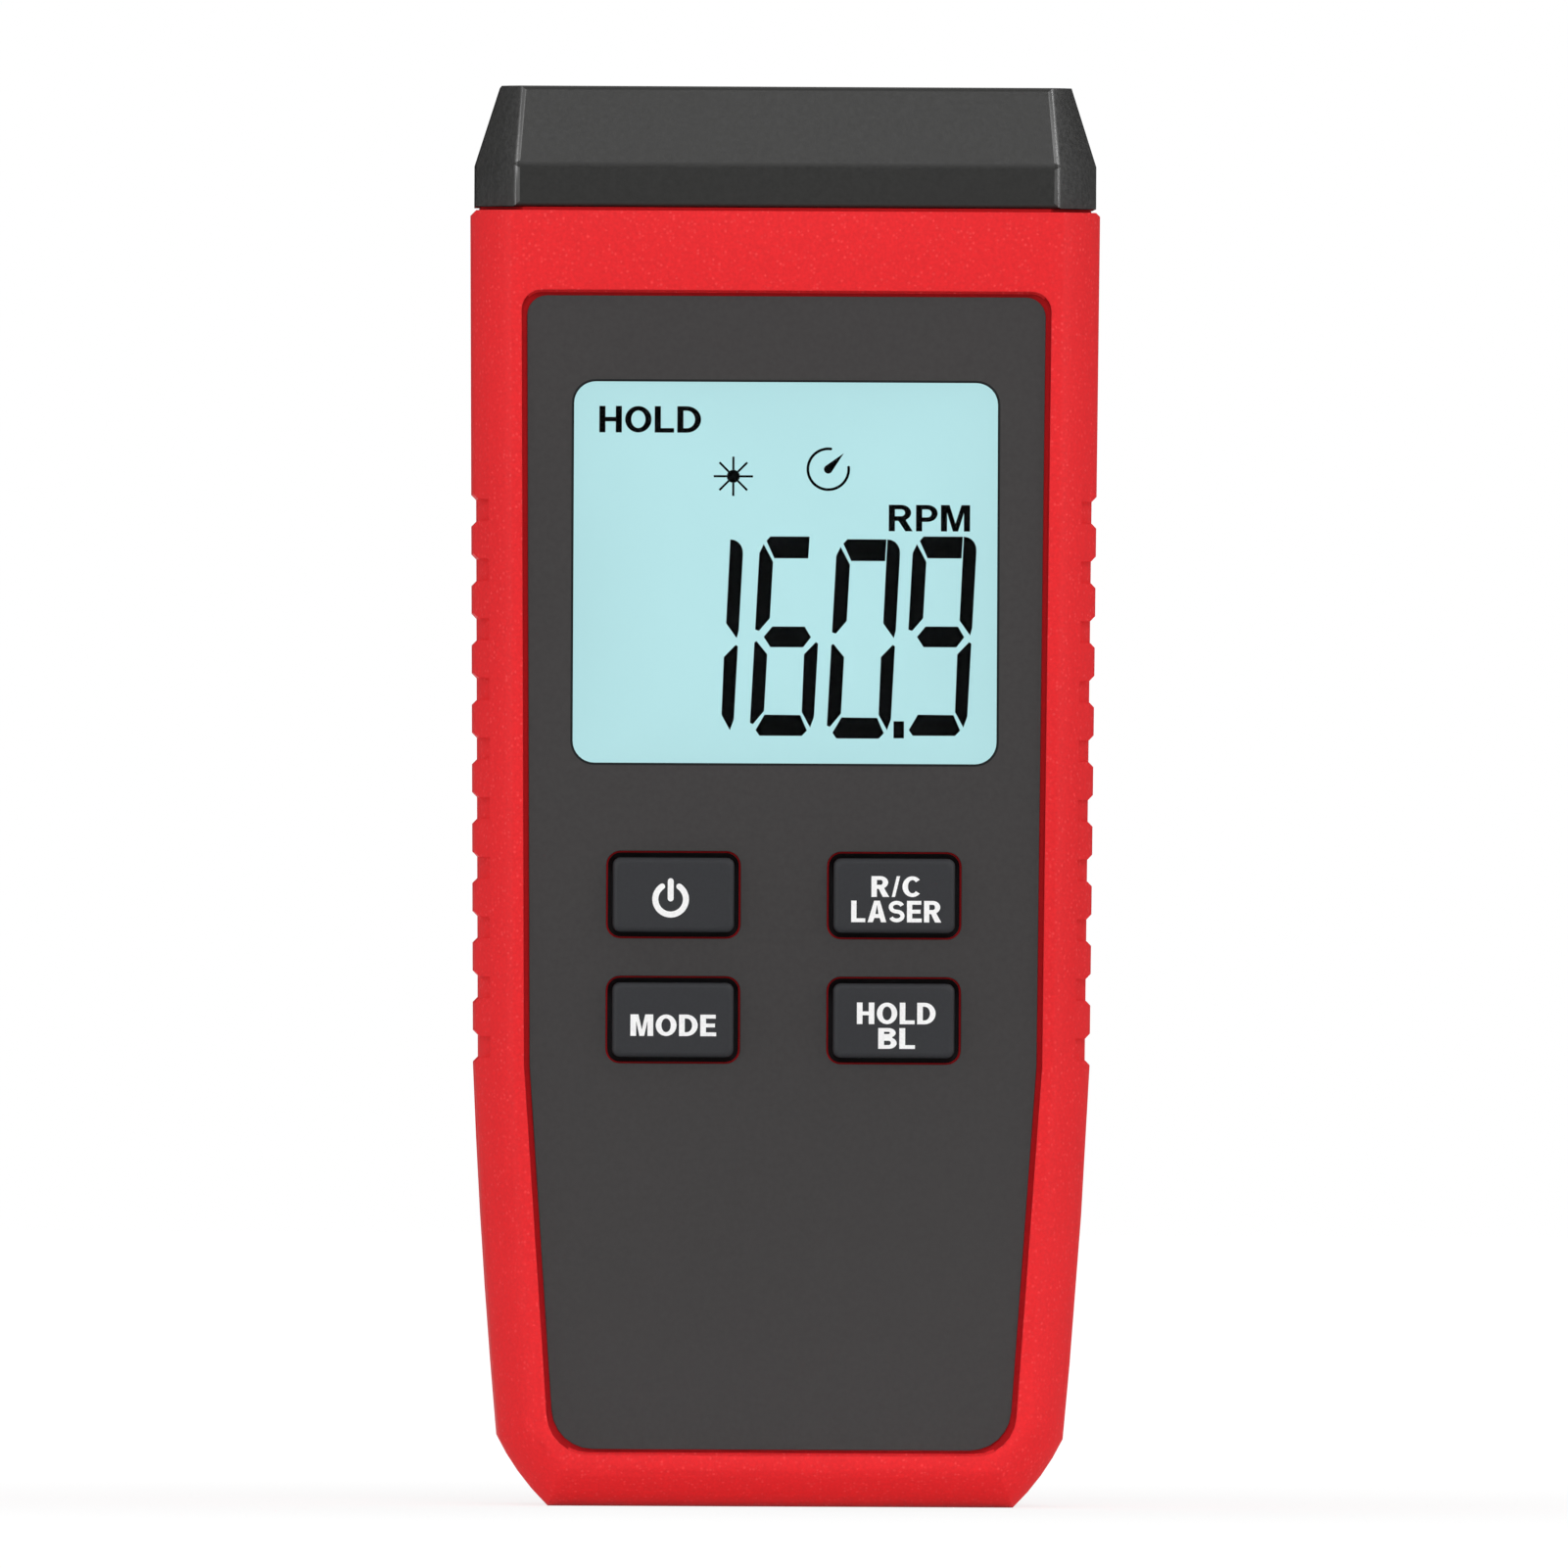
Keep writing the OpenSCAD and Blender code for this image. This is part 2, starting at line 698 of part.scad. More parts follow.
module top_cap() {
    color(dark) difference() {
        union() {
            hull() {
                translate([0, 0, cap_z]) linear_extrude(cap_band)
                    polygon(cap_section(0, 0, cap_edge, 0));
                translate([0, 0, cap_top - slice]) linear_extrude(slice)
                    polygon(cap_section(cap_lean_x, cap_lean_y, cap_top_edge, 0));
            }
            translate([0, 0, case_h - spigot_l]) linear_extrude(spigot_l + cap_gap + slice)
                polygon(inner_section(spigot_gap));
            translate([0, 0, rib_z - rib_h / 2]) linear_extrude(rib_h)
                polygon(inner_section(spigot_gap - rib_d));
        }
        hull() {
            translate([0, 0, cap_z + wall / 2]) linear_extrude(cap_band - wall / 2)
                polygon(cap_section(0, 0, cap_edge, wall));
            translate([0, 0, port_z - slice]) linear_extrude(slice)
                polygon(cap_section(cap_lean_x, cap_lean_y, cap_top_edge, wall));
        }
        translate([0, 0, case_h - spigot_l - past])
            linear_extrude(spigot_l + cap_gap + wall / 2 + 2 * past)
            polygon(inner_section(spigot_gap + spigot_t));
        port(receiver_x, receiver_d - 2 * receiver_lip);
        port(-laser_x, beam_d);
    }
}

// Flared opening through the top of the head
module port(x, d) {
    translate([x, optics_y, port_z - past]) cylinder(d = d, h = wall + 2 * past);
    translate([x, optics_y, cap_top - port_flare])
        cylinder(d1 = d, d2 = d + 4 * port_flare, h = 2 * port_flare);
}

module face_overlay() {
    color(grey) upright(y_floor - overlay_t, y_floor) difference() {
        polygon(face_outline(overlay_gap));
        translate([0, window_z]) rounded(window_w, window_h, window_r);
        for (p = keys) {
            w = key_gap + key_margin;
            translate(p) rounded(key_w + 2 * w, key_h + 2 * w, key_r + w);
        }
    }
}

module display_lens() {
    color(clear) translate([0, 0, window_z]) upright(y_floor, y_floor + lens_t)
        rounded(lens_w, lens_h, window_r);
}

// Front glass over the full height, rear glass short of the two contact ledges
module lcd_panel() {
    color([0.71, 0.88, 0.9]) translate([0, 0, window_z]) {
        upright(y_wall, y_wall + lcd_t / 2) square([lcd_w, lcd_h], center = true);
        upright(y_wall + lcd_t / 2, y_lcd) square([lcd_w, lcd_h - 2 * lcd_ledge], center = true);
    }
}

module lcd_holder() {
    w = lcd_w + 2 * holder_wall;
    h = lcd_h + 2 * holder_wall;
    color([0.9, 0.9, 0.88]) translate([0, 0, window_z]) difference() {
        upright(y_wall, y_board) rounded(w, h, holder_wall);
        upright(y_wall - past, y_lcd)
            square([lcd_w + 2 * fit_gap, lcd_h + 2 * fit_gap], center = true);
        upright(y_wall, y_board + past)
            square([window_w + 2 * fit_gap, guide_h + 2 * fit_gap], center = true);
        for (s = [-1, 1]) {
            upright(y_wall, y_board + past) translate([0, s * strip_z])
                square([window_w + 2 * fit_gap, strip_h + 2 * fit_gap], center = true);
            upright(y_wall, y_board + past) translate([window_w / 2 + led_w / 2 + fit_gap, s * led_z])
                square([led_w + 4 * fit_gap, led_h + 2 * fit_gap], center = true);
        }
    }
}

module light_guide() {
    color([0.93, 0.96, 0.97]) translate([0, 0, window_z]) upright(y_lcd, y_board)
        square([window_w, guide_h], center = true);
}

module backlight_leds() {
    color([0.95, 0.95, 0.9]) for (s = [-1, 1]) {
        translate([window_w / 2 + led_w / 2 + fit_gap, 0, window_z + s * led_z])
            upright(y_lcd + led_gap, y_board) square([led_w, led_h], center = true);
    }
}

module contact_strips() {
    color([0.85, 0.6, 0.65]) for (s = [-1, 1]) {
        translate([0, 0, window_z + s * strip_z]) upright(y_wall + lcd_t / 2, y_board)
            square([window_w, strip_h], center = true);
    }
}

module main_board() {
    half = foot.x - wall - board_inset;
    top = case_h - board_drop;
    color([0.1, 0.36, 0.2]) difference() {
        translate([0, 0, (board_z + top) / 2]) upright(y_board, y_parts)
            rounded(2 * half, top - board_z, board_r);
        at_posts() rod([0, 0], y_board - past, y_parts + past, screw_d + 2 * screw_gap);
        pegs(y_board - past, 2 * fit_gap);
    }
}

// The optics block's two locating pegs, from y0 to the board's rear face
module pegs(y0, gap) {
    middle = [peg_mid, block_z + block_foot / 2];
    for (s = [-1, 1]) {
        rod(middle + s * [peg_x, block_foot / 4], y0, y_parts + past, peg_d + gap);
    }
}

module controller_chip() {
    r = (chip_d * chip_d / 4 + chip_dome * chip_dome) / (2 * chip_dome);
    z = (bay_top + door_tab + block_z) / 2;
    color([0.08, 0.08, 0.09]) translate([0, y_parts, z]) rotate([-90, 0, 0])
        rotate_extrude() intersection() {
            translate([0, chip_dome - r]) circle(r, $fn = lens_facets);
            square([chip_d / 2, chip_dome]);
        }
}

module amplifier_chip() {
    color([0.12, 0.12, 0.13]) translate([receiver_x + amp_w, 0, block_z - amp_h - part_gap]) {
        upright(y_parts + amp_lift, y_parts + amp_t) square([amp_w, amp_h], center = true);
        for (s = [-1, 1], i = [-1.5:1:1.5]) {
            upright(y_parts, y_parts + amp_t / 2) translate([i * pin_pitch, s * amp_h / 2])
                square([pin_w, 2 * pin_l], center = true);
        }
    }
}

module timing_crystal() {
    color(steel) translate([-laser_x - crystal_w / 2, 0, block_z - crystal_h - part_gap / 2])
        upright(y_parts, y_parts + crystal_t) rounded(crystal_w, crystal_h, crystal_h / 2 - fit_gap);
}

module keypad_mat() {
    w = key_w + 2 * (key_gap + mat_border);
    collar = y_flange + flange_t + key_travel + 2 * flange_gap;
    color([0.2, 0.2, 0.21]) difference() {
        union() {
            translate([0, 0, key_z - key_pitch / 2]) upright(y_board - mat_t, y_board)
                rounded(2 * key_x + w, key_pitch + key_h + 2 * mat_border, mat_r);
            for (p = keys) {
                translate([p.x, 0, p.y]) upright(collar, y_board)
                    rounded(stem_w + 2 * mat_border, stem_h + 2 * collar_wall, collar_r);
            }
        }
        for (p = keys) {
            translate([p.x, 0, p.y]) upright(collar - past, y_board + past)
                rounded(stem_w + 2 * key_gap, stem_h + 2 * key_gap, collar_r);
        }
    }
}

// A key with a pillowed top, a flange behind the case and a stem towards the board
module push_key(p) {
    color([0.245, 0.247, 0.26]) translate([p.x, 0, p.y]) {
        hull() {
            for (e = soft_edge(key_soft, key_soft, 2, key_steps)) {
                upright(y_key + e.y, y_key + e.y + slice)
                    rounded(key_w - 2 * e.x, key_h - 2 * e.x, key_r);
            }
            upright(y_flange, y_flange + flange_t / 2) rounded(key_w, key_h, key_r);
        }
        flange = key_gap + flange_lap;
        upright(y_flange, y_flange + flange_t) rounded(key_w + 2 * flange, key_h + 2 * flange, key_r);
        upright(y_flange + flange_t / 2, y_stem) rounded(stem_w, stem_h, stem_r);
    }
}

module power_key() {
    push_key(keys[0]);
}

module laser_key() {
    push_key(keys[1]);
}

module mode_key() {
    push_key(keys[2]);
}

module hold_key() {
    push_key(keys[3]);
}

module pill(p) {
    color([0.05, 0.05, 0.05]) rod(p, y_stem, y_pill, pill_d);
}

module power_pill() {
    pill(keys[0]);
}

module laser_pill() {
    pill(keys[1]);
}

module mode_pill() {
    pill(keys[2]);
}

module hold_pill() {
    pill(keys[3]);
}

// A vertical cylinder on one of the optical axes
module on_axis(x, z0, z1, d) {
    translate([x, optics_y, z0]) cylinder(d = d, h = z1 - z0);
}

module optics_block() {
    left = -laser_x - laser_d / 2 - block_wall;
    right = receiver_x + receiver_d / 2 + block_wall;
    laser_hole = laser_d + 2 * tube_gap;
    color([0.1, 0.1, 0.105]) difference() {
        union() {
            translate([left, y_parts, block_z])
                cube([right - left, optics_y + block_half - y_parts, block_foot]);
            on_axis(receiver_x, block_z + block_wall, receiver_z, receiver_d + block_wall);
            on_axis(-laser_x, block_z + block_wall, laser_z + laser_l / 2, laser_hole + 2 * block_wall);
            pegs(y_board, 0);
        }
        on_axis(receiver_x, sensor_z, receiver_z + past, receiver_d - 2 * block_wall);
        on_axis(-laser_x, laser_z, port_z, laser_hole);
        on_axis(-laser_x, laser_z - lead_drop - 2 * lead, laser_z + past, laser_d - block_wall);
        lead_slot(receiver_x, sensor_z - lead);
        lead_slot(-laser_x, laser_z - lead_drop);
    }
}

// Two solder leads from an optical axis to the board
module leads(x, z) {
    for (s = [-1, 1]) {
        translate([x + s * sensor_w / 4 - lead / 2, y_parts, z]) cube([lead, optics_y - y_parts, lead]);
    }
}

// Slot in the optics block for those leads
module lead_slot(x, z) {
    w = sensor_w / 2 + 3 * lead;
    translate([x - w / 2, y_parts - past, z - lead / 2])
        cube([w, optics_y + lead - y_parts + past, 2 * lead]);
}

module laser_module() {
    color(gold) translate([-laser_x, optics_y, laser_z]) rotate_extrude() difference() {
        square([laser_d / 2, laser_l]);
        square([laser_bore / 2, laser_l - laser_nose]);
        square([beam_d / 2, laser_l + past]);
    }
}

module laser_lens() {
    top = laser_z + laser_l - laser_nose;
    color(clear) on_axis(-laser_x, top - laser_lens_t, top, laser_bore - fit_gap);
}

module laser_diode() {
    color(gold) {
        on_axis(-laser_x, laser_z, laser_z + diode_flange, laser_bore - fit_gap);
        on_axis(-laser_x, laser_z + diode_flange / 2, laser_z + diode_can_h, laser_bore - 2 * diode_gap);
        for (s = [-1, 1]) {
            translate([-laser_x + s * sensor_w / 4 - lead / 2, optics_y - lead, laser_z - lead_drop])
                cube([lead, lead, lead_drop + lead]);
        }
        leads(-laser_x, laser_z - lead_drop);
    }
}

// Flat below, domed above
module receiver_lens() {
    span = receiver_d - 2 * receiver_lip - 2 * fit_gap;
    r = (span * span / 4 + receiver_dome * receiver_dome) / (2 * receiver_dome);
    color(clear) translate([receiver_x, optics_y, receiver_z]) rotate_extrude() {
        square([receiver_d / 2, receiver_t]);
        intersection() {
            translate([0, receiver_t + receiver_dome - r]) circle(r, $fn = lens_facets);
            translate([0, receiver_t / 2]) square([span / 2, receiver_t + receiver_dome]);
        }
    }
}

module photodiode() {
    color([0.1, 0.1, 0.12]) {
        translate([receiver_x - sensor_w / 2, optics_y - sensor_w / 2, sensor_z])
            cube([sensor_w, sensor_w, sensor_h]);
        for (s = [-1, 1]) {
            translate([receiver_x + s * sensor_w / 4 - lead / 2, optics_y - lead, sensor_z - lead])
                cube([lead, lead, 2 * lead]);
        }
        leads(receiver_x, sensor_z - lead);
    }
}

module battery_door() {
    color(red) difference() {
        union() {
            upright(y_door, y_back) translate([0, (door_z + door_top) / 2])
                rounded(2 * door_half, door_top - door_z, door_r);
            for (s = [-1, 1]) {
                left = s * tongue_x - tongue_w / 2;
                upright(y_seat - tongue_t, y_seat) translate([left, door_z - tongue_l])
                    square([tongue_w, tongue_l + bay_wall]);
                upright(y_seat - tongue_t, y_door + wall / 4) translate([left, door_z])
                    square([tongue_w, bay_wall]);
            }
        }
        rod([0, door_screw_z], y_door - past, y_back, screw_d + 2 * screw_gap);
        rod([0, door_screw_z], y_back - head_h, y_back + past, head_d + 2 * screw_gap);
        for (i = [1:groove_count]) {
            translate([0, y_back + groove_r - groove_d, bay_top - 2 * groove_h * i]) rotate([0, 90, 0])
                cylinder(r = groove_r, h = groove_w, center = true);
        }
    }
}

module door_screw() {
    color(steel) screw([0, door_screw_z], y_back - head_h, door_screw_l + door_t - head_h);
}

// A cross-head screw driven in along -Y, its head resting at y
module screw(p, y, l) {
    difference() {
        union() {
            rod(p, y, y + head_h, head_d);
            rod(p, y - l, y + head_h / 2, screw_d);
        }
        for (a = [0, 90]) {
            translate([p.x, y + head_h, p.y]) rotate([0, a, 0])
                cube([cross_l, 2 * cross_d, cross_w], center = true);
        }
    }
}

module case_screws() {
    color(steel) at_posts() screw([0, 0], y_post, y_post - y_wall - boss_floor - tip_gap);
}

// A cell with its nub up, standing on its own z = 0
module cell(tint) {
    r = cell_d / 2;
    h = cell_l - nub_h;
    color(tint) rotate_extrude() polygon([
        [0, 0], [r - cell_edge, 0], [r, cell_edge], [r, h - cell_edge], [r - cell_edge, h],
        [nub_d / 2, h], [nub_d / 2, cell_l], [0, cell_l]
    ]);
}

module cell_left() {
    translate([-cell_pitch, y_cell, bay_z + plate_t + spring_l]) cell([0.16, 0.2, 0.26]);
}

module cell_middle() {
    translate([0, y_cell, bay_top - plate_t - spring_l]) rotate([180, 0, 0]) cell([0.16, 0.2, 0.26]);
}

module cell_right() {
    translate([cell_pitch, y_cell, bay_z + plate_t + spring_l]) cell([0.16, 0.2, 0.26]);
}

// A contact plate across the cells from x0 to x1, with its lower face at z
module plate(x0, x1, z) {
    color(steel) translate([x0 - plate_w / 2, plate_y, z]) cube([x1 - x0 + plate_w, plate_w, plate_t]);
}

// A contact plate's tail through the bay's floor to the board
module tail(x, z) {
    color(steel) translate([x - tail_w / 2, y_parts, z])
        cube([tail_w, plate_y + plate_w / 2 - y_parts, plate_t]);
}

module plus_contact() {
    plate(-cell_pitch, -cell_pitch, bay_top - plate_t);
    tail(-cell_pitch, bay_top - plate_t);
}

module minus_contact() {
    plate(cell_pitch, cell_pitch, bay_z);
    tail(cell_pitch, bay_z);
}

module upper_bridge() {
    plate(0, cell_pitch, bay_top - plate_t);
}

module lower_bridge() {
    plate(-cell_pitch, 0, bay_z);
}

// A cone-shaped coil, standing on its own z = 0 with its wide end down
module coil_spring() {
    sides = coil_sides;
    rings = coil_rings * spring_turns;
    r = spring_wire / 2;
    rise = spring_l - spring_wire - 2 * coil_touch;
    points = [for (i = [0:rings], j = [0:sides - 1]) let (
        t = i / rings,
        a = 360 * spring_turns * t,
        b = 360 * j / sides,
        radius = coil_r + (coil_top_r - coil_r) * t + r * cos(b)
    ) [radius * cos(a), radius * sin(a), coil_touch + r + rise * t + r * sin(b)]];
    walls = [for (i = [0:rings - 1], j = [0:sides - 1]) let (k = (j + 1) % sides)
        [i * sides + j, i * sides + k, (i + 1) * sides + k, (i + 1) * sides + j]];
    first = [for (j = [sides - 1:-1:0]) j];
    last = [for (j = [0:sides - 1]) rings * sides + j];
    polyhedron(points, concat(walls, [first, last]));
}

module battery_springs() {
    color(steel) {
        for (s = [-1, 1]) {
            translate([s * cell_pitch, y_cell, bay_z + plate_t]) coil_spring();
        }
        translate([0, y_cell, bay_top - plate_t]) rotate([180, 0, 0]) coil_spring();
    }
}

front_case();
rear_case();
top_cap();
face_overlay();
display_lens();
lcd_panel();
lcd_holder();
light_guide();
backlight_leds();
contact_strips();
main_board();
controller_chip();
amplifier_chip();
timing_crystal();
keypad_mat();
power_key();
laser_key();
mode_key();
hold_key();
power_pill();
laser_pill();
mode_pill();
hold_pill();
optics_block();
laser_module();
laser_lens();
laser_diode();
receiver_lens();
photodiode();
battery_door();
door_screw();
cell_left();
cell_middle();
cell_right();
plus_contact();
minus_contact();
upper_bridge();
lower_bridge();
battery_springs();
case_screws();
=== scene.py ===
"""A handheld laser tachometer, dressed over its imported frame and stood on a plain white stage."""

import json
import math

import bmesh
import bpy
from mathutils import Matrix, Vector


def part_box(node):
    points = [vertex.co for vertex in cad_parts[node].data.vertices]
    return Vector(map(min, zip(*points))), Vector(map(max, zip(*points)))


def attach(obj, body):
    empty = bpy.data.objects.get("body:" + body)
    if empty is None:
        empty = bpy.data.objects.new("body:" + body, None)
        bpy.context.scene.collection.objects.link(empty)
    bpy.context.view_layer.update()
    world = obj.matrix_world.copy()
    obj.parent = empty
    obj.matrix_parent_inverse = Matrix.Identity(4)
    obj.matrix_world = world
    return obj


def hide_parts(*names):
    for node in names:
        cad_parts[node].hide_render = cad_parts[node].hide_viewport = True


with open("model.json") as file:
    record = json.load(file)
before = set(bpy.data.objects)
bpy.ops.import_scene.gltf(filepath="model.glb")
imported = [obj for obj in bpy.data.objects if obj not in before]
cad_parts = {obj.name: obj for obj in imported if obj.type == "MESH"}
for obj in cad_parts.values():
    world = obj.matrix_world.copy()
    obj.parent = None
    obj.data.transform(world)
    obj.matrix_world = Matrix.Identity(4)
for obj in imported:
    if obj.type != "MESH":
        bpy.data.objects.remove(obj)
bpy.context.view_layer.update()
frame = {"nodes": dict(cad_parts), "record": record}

bl_info = {
    "name": "Laser tachometer",
    "version": (1, 0, 0),
    "blender": (4, 5, 0),
    "location": "View3D > Sidebar > Tachometer",
    "description": "Dresses the packed tachometer with its mouldings, display, key legends and stage",
    "category": "Object",
}

MM = 0.001


def oval(x, y, across, up, start, end, steps=14):
    """Points along an arc of an oval, from one angle to another in degrees."""
    angles = [math.radians(start + (end - start) * i / steps) for i in range(steps + 1)]
    return [(x + across * math.cos(a), y + up * math.sin(a)) for a in angles]


# Seven-segment bars of a digit in millimetres, from its lower left corner, before they lean
SEGMENTS = {
    "top": ((0.60, 17.79), (0.91, 18.16), (4.44, 18.16), (4.42, 16.25), (1.38, 16.25)),
    "upper_left": ((0.32, 17.41), (1.22, 15.87), (1.21, 10.73), (0.30, 9.60), (0.0, 9.70), (0.0, 16.66)),
    "upper_right": (*oval(4.60, 16.90, 1.15, 1.26, 90, 0, 5), (5.75, 9.87), (5.62, 9.25), (4.64, 10.53)),
    "middle": ((0.83, 9.00), (1.54, 9.92), (4.46, 9.92), (5.06, 9.00), (4.42, 8.11), (1.46, 8.11)),
    "lower_left": ((0.14, 8.57), (1.15, 7.40), (1.15, 2.25), (0.22, 1.06), (0.0, 1.16), (0.0, 8.46)),
    "lower_right": ((5.59, 8.50), (5.75, 8.38), (5.75, 1.74), (5.47, 0.83), (4.68, 2.16), (4.60, 7.41)),
    "bottom": ((0.55, 0.48), (1.28, 1.85), (4.49, 1.82), (5.16, 0.46), (4.74, 0.0), (0.91, 0.0)),
}
DIGITS = {
    "0": ("top", "upper_left", "upper_right", "lower_left", "lower_right", "bottom"),
    "1": ("upper_right", "lower_right"),
    "6": ("top", "upper_left", "middle", "lower_left", "lower_right", "bottom"),
    "9": ("top", "upper_left", "upper_right", "middle", "lower_right", "bottom"),
}
# Each digit of the reading with the place of its lower left corner from the window's middle, in millimetres
READING = (("1", -10.50, -15.16), ("6", -3.16, -14.87), ("0", 3.88, -15.09), ("9", 10.87, -14.81))
POINT = ((10.0, -15.09), (10.96, -15.09), (10.96, -13.53), (10.0, -13.53))
# How much bolder than their outlines the bars are printed on each side, in millimetres
BOLD = 0.04
# The dial sign: its middle from the window's middle in millimetres, its sizes, and its angles in degrees
DIAL_SPOT = (3.92, 9.51)
DIAL_RADIUS = 1.87 * MM
DIAL_LINE = 0.25 * MM
DIAL_START, DIAL_END = 83, 366
NEEDLE_ANGLE = 46
NEEDLE_LENGTH = 2.05 * MM
NEEDLE_HUB = 0.4 * MM
# The burst sign of the lit laser, placed and sized in the same way
BURST_SPOT = (-4.77, 8.82)
BURST_HUB = 0.6 * MM
RAY_LENGTH = 1.2 * MM
RAY_WIDTH = 0.2 * MM
# The power sign: its middle from the key's middle in millimetres, its arc, and the bar through the arc's gap
POWER_SPOT = (-0.27, -0.41)
POWER_RADIUS = 1.4 * MM
POWER_LINE = 0.55 * MM
POWER_START, POWER_END = 124, 416
POWER_BAR_LOW, POWER_BAR_HIGH = -0.2 * MM, 1.92 * MM
POWER_BAR_WIDTH = 0.54 * MM
# Words on the display and on the keys: text, width, height and middle in millimetres
DISPLAY_WORDS = (("HOLD", 9.32, 2.42, (-12.40, 14.0)), ("RPM", 7.44, 2.42, (13.20, 5.07)))
KEY_WORDS = {
    "laser_key": (("R/C", 4.57, 1.9, (0.18, 0.84)), ("LASER", 8.25, 1.97, (0.18, -1.44))),
    "mode_key": (("MODE", 7.85, 1.97, (0.03, -0.50)),),
    "hold_key": (("HOLD", 7.2, 1.97, (0.22, 0.68)), ("BL", 3.36, 1.9, (0.26, -1.61))),
}
# Upright and level strokes of the letters, and the gap between letters, as shares of a letter's height
DISPLAY_STROKES = (0.19, 0.17)
KEY_STROKES = (0.225, 0.18)
LETTER_GAP = 0.1
KEYS = ("power_key", "laser_key", "mode_key", "hold_key")

# How far the overlay covers the edge of the clear window, and the corner radius of its cut-out
WINDOW_LAP = 1.5 * MM
WINDOW_RADIUS = 2.0 * MM
# The dark line round the window, painted shade along the window's cut edge: how far it stands out of the
# film, reaches into it and laps its edge
LINE_RISE = 0.02 * MM
LINE_DEPTH = 0.1 * MM
LINE_LAP = 0.01 * MM
# Rounding of the film's own edges
FILM_EDGE = 0.08 * MM

# How soft copies are made: points this close are merged, faces this even are joined, creases this sharp stay,
# and large faces count this much when the shading is evened out
MERGED = 0.025 * MM
EVEN = math.radians(0.6)
SHARP = math.radians(32.0)
FACE_WEIGHT = 80
# How close a point is to a plane that it lies in, and how tall a rounding is that counts as upright
IN_PLANE = 0.01 * MM
UPRIGHT_RISE = 2.0 * MM
# Shares of a direction: an edge that runs back more than the first stays crisp, a wall faces the front less
# than the second, and a corner face looks sideways by a share between the last two
RUNS_BACK = 0.8
FACES_FRONT = 0.2
LEAST_SLANT, MOST_SLANT = 0.5, 0.82
# An edge is rounded where it and its neighbours are longer than this many times the rounding
ROOM = 2.2
# Least areas of the head's corner faces, before and after their edges are rounded
WHOLE_CORNER = 20 * MM * MM
ROUNDED_CORNER = 12 * MM * MM
# The hollow round the overlay: how level its floor is, how high its walls are, and how far key rims reach
LEVEL = 0.02 * MM
HOLLOW_WALL = 0.8 * MM
RIM_REACH = 1.0 * MM

# Depth of the case's grain, and size of the head's
CASE_RELIEF = 0.012 * MM
HEAD_GRAIN = 0.35 * MM
# Along a cell from its minus end, as shares of its length: the bare rims and the start of the pale band
MINUS_RIM = 0.012
BAND_START = 0.76
PLUS_RIM = 0.975

# The stage in metres: half the floor's side, where its shadows begin and end to fade, and the point that the
# lights face
FLOOR_HALF = 3.0
SHADOW_NEAR, SHADOW_FAR = 0.06, 0.28
LIT_POINT = (0.0, 0.0, 0.07)
# Lights: where they stand, then width and height; side lights stand on both sides
KEY_LIGHT = ((0.08, -0.8, 0.62), (0.6, 0.3))
FILL_LIGHT = ((-0.1, -1.5, 0.75), (1.2, 0.3))
LOW_LIGHT = ((0.0, -0.7, 0.012), (0.3, 0.02))
LOW_SPREAD = math.radians(8)
SIDE_LIGHT = ((0.95, -0.3, 0.2), (0.4, 0.4))
# Strip lights also have their share of the strip power
STRIP_LIGHTS = (((-0.85, -0.62, 0.3), (0.12, 0.8), 1.25), ((0.53, -0.24, 0.3), (0.1, 0.8), 0.5))
# Dark cards: middle, then the half width as a step in x and y, then the half height; side cards stand on both
# sides
SIDE_CARDS = {
    "side_card": ((0.6, 0.2, 0.3), (0.0, 0.5), 0.3),
    "corner_card": ((1.3, -1.3, 0.35), (0.55, 0.55), 0.6),
}
END_CARDS = {
    "front_card": ((0.0, -1.9, 0.4), (0.5, 0.0), 0.7),
    "back_card": ((0.0, 1.0, 0.4), (0.8, 0.0), 0.4),
}


def srgb(red, green, blue):
    """A colour as a picture stores it, 0 to 255, as linear light."""
    def linear(value):
        share = value / 255
        return share / 12.92 if share <= 0.04045 else ((share + 0.055) / 1.055) ** 2.4
    return linear(red), linear(green), linear(blue)


def colour_property(name, description, colour):
    return bpy.props.FloatVectorProperty(
        name=name, description=description, default=colour, subtype="COLOR", size=3, min=0.0, max=1.0)


def length_property(name, description, metres):
    return bpy.props.FloatProperty(
        name=name, description=description, default=metres, min=0.0, precision=6,
        subtype="DISTANCE", unit="LENGTH")


def place_property(name, description, metres):
    return bpy.props.FloatProperty(name=name, description=description, default=metres, unit="LENGTH")


def angle_property(name, description, degrees):
    return bpy.props.FloatProperty(
        name=name, description=description, default=math.radians(degrees), subtype="ANGLE", unit="ROTATION")


def power_property(name, description, watts):
    return bpy.props.FloatProperty(name=name, description=description, default=watts, unit="POWER")


def share_property(name, description, share):
    return bpy.props.FloatProperty(
        name=name, description=description, default=share, min=0.0, max=1.0, subtype="FACTOR")


class TachometerCase(bpy.types.PropertyGroup):
    colour: colour_property("Case Colour", "Colour of the case and the battery door", srgb(234, 46, 50))
    roughness: share_property("Case Roughness", "Roughness of the moulded case", 0.5)
    grain: length_property("Case Grain", "Size of the moulded grain", 0.28 * MM)
    edge: length_property("Case Edge", "Rounding of the case's sharp edges", 0.15 * MM)
    # Painted shade: darker reds stand in for the shade in the hollow round the overlay, on the lip below the
    # head and on the key rims
    shade: colour_property("Hollow Painted Shade", "Painted shade in the hollow round the overlay", srgb(184, 24, 29))
    key_rim: colour_property("Key Rim Painted Shade", "Painted shade on the rims round the keys", srgb(150, 18, 24))
    strip: length_property("Lit Strip", "Width of the lit strip above and below the overlay", 0.2 * MM)
    lip: length_property("Lip", "Height of the case's lip that shows below the head", 0.28 * MM)


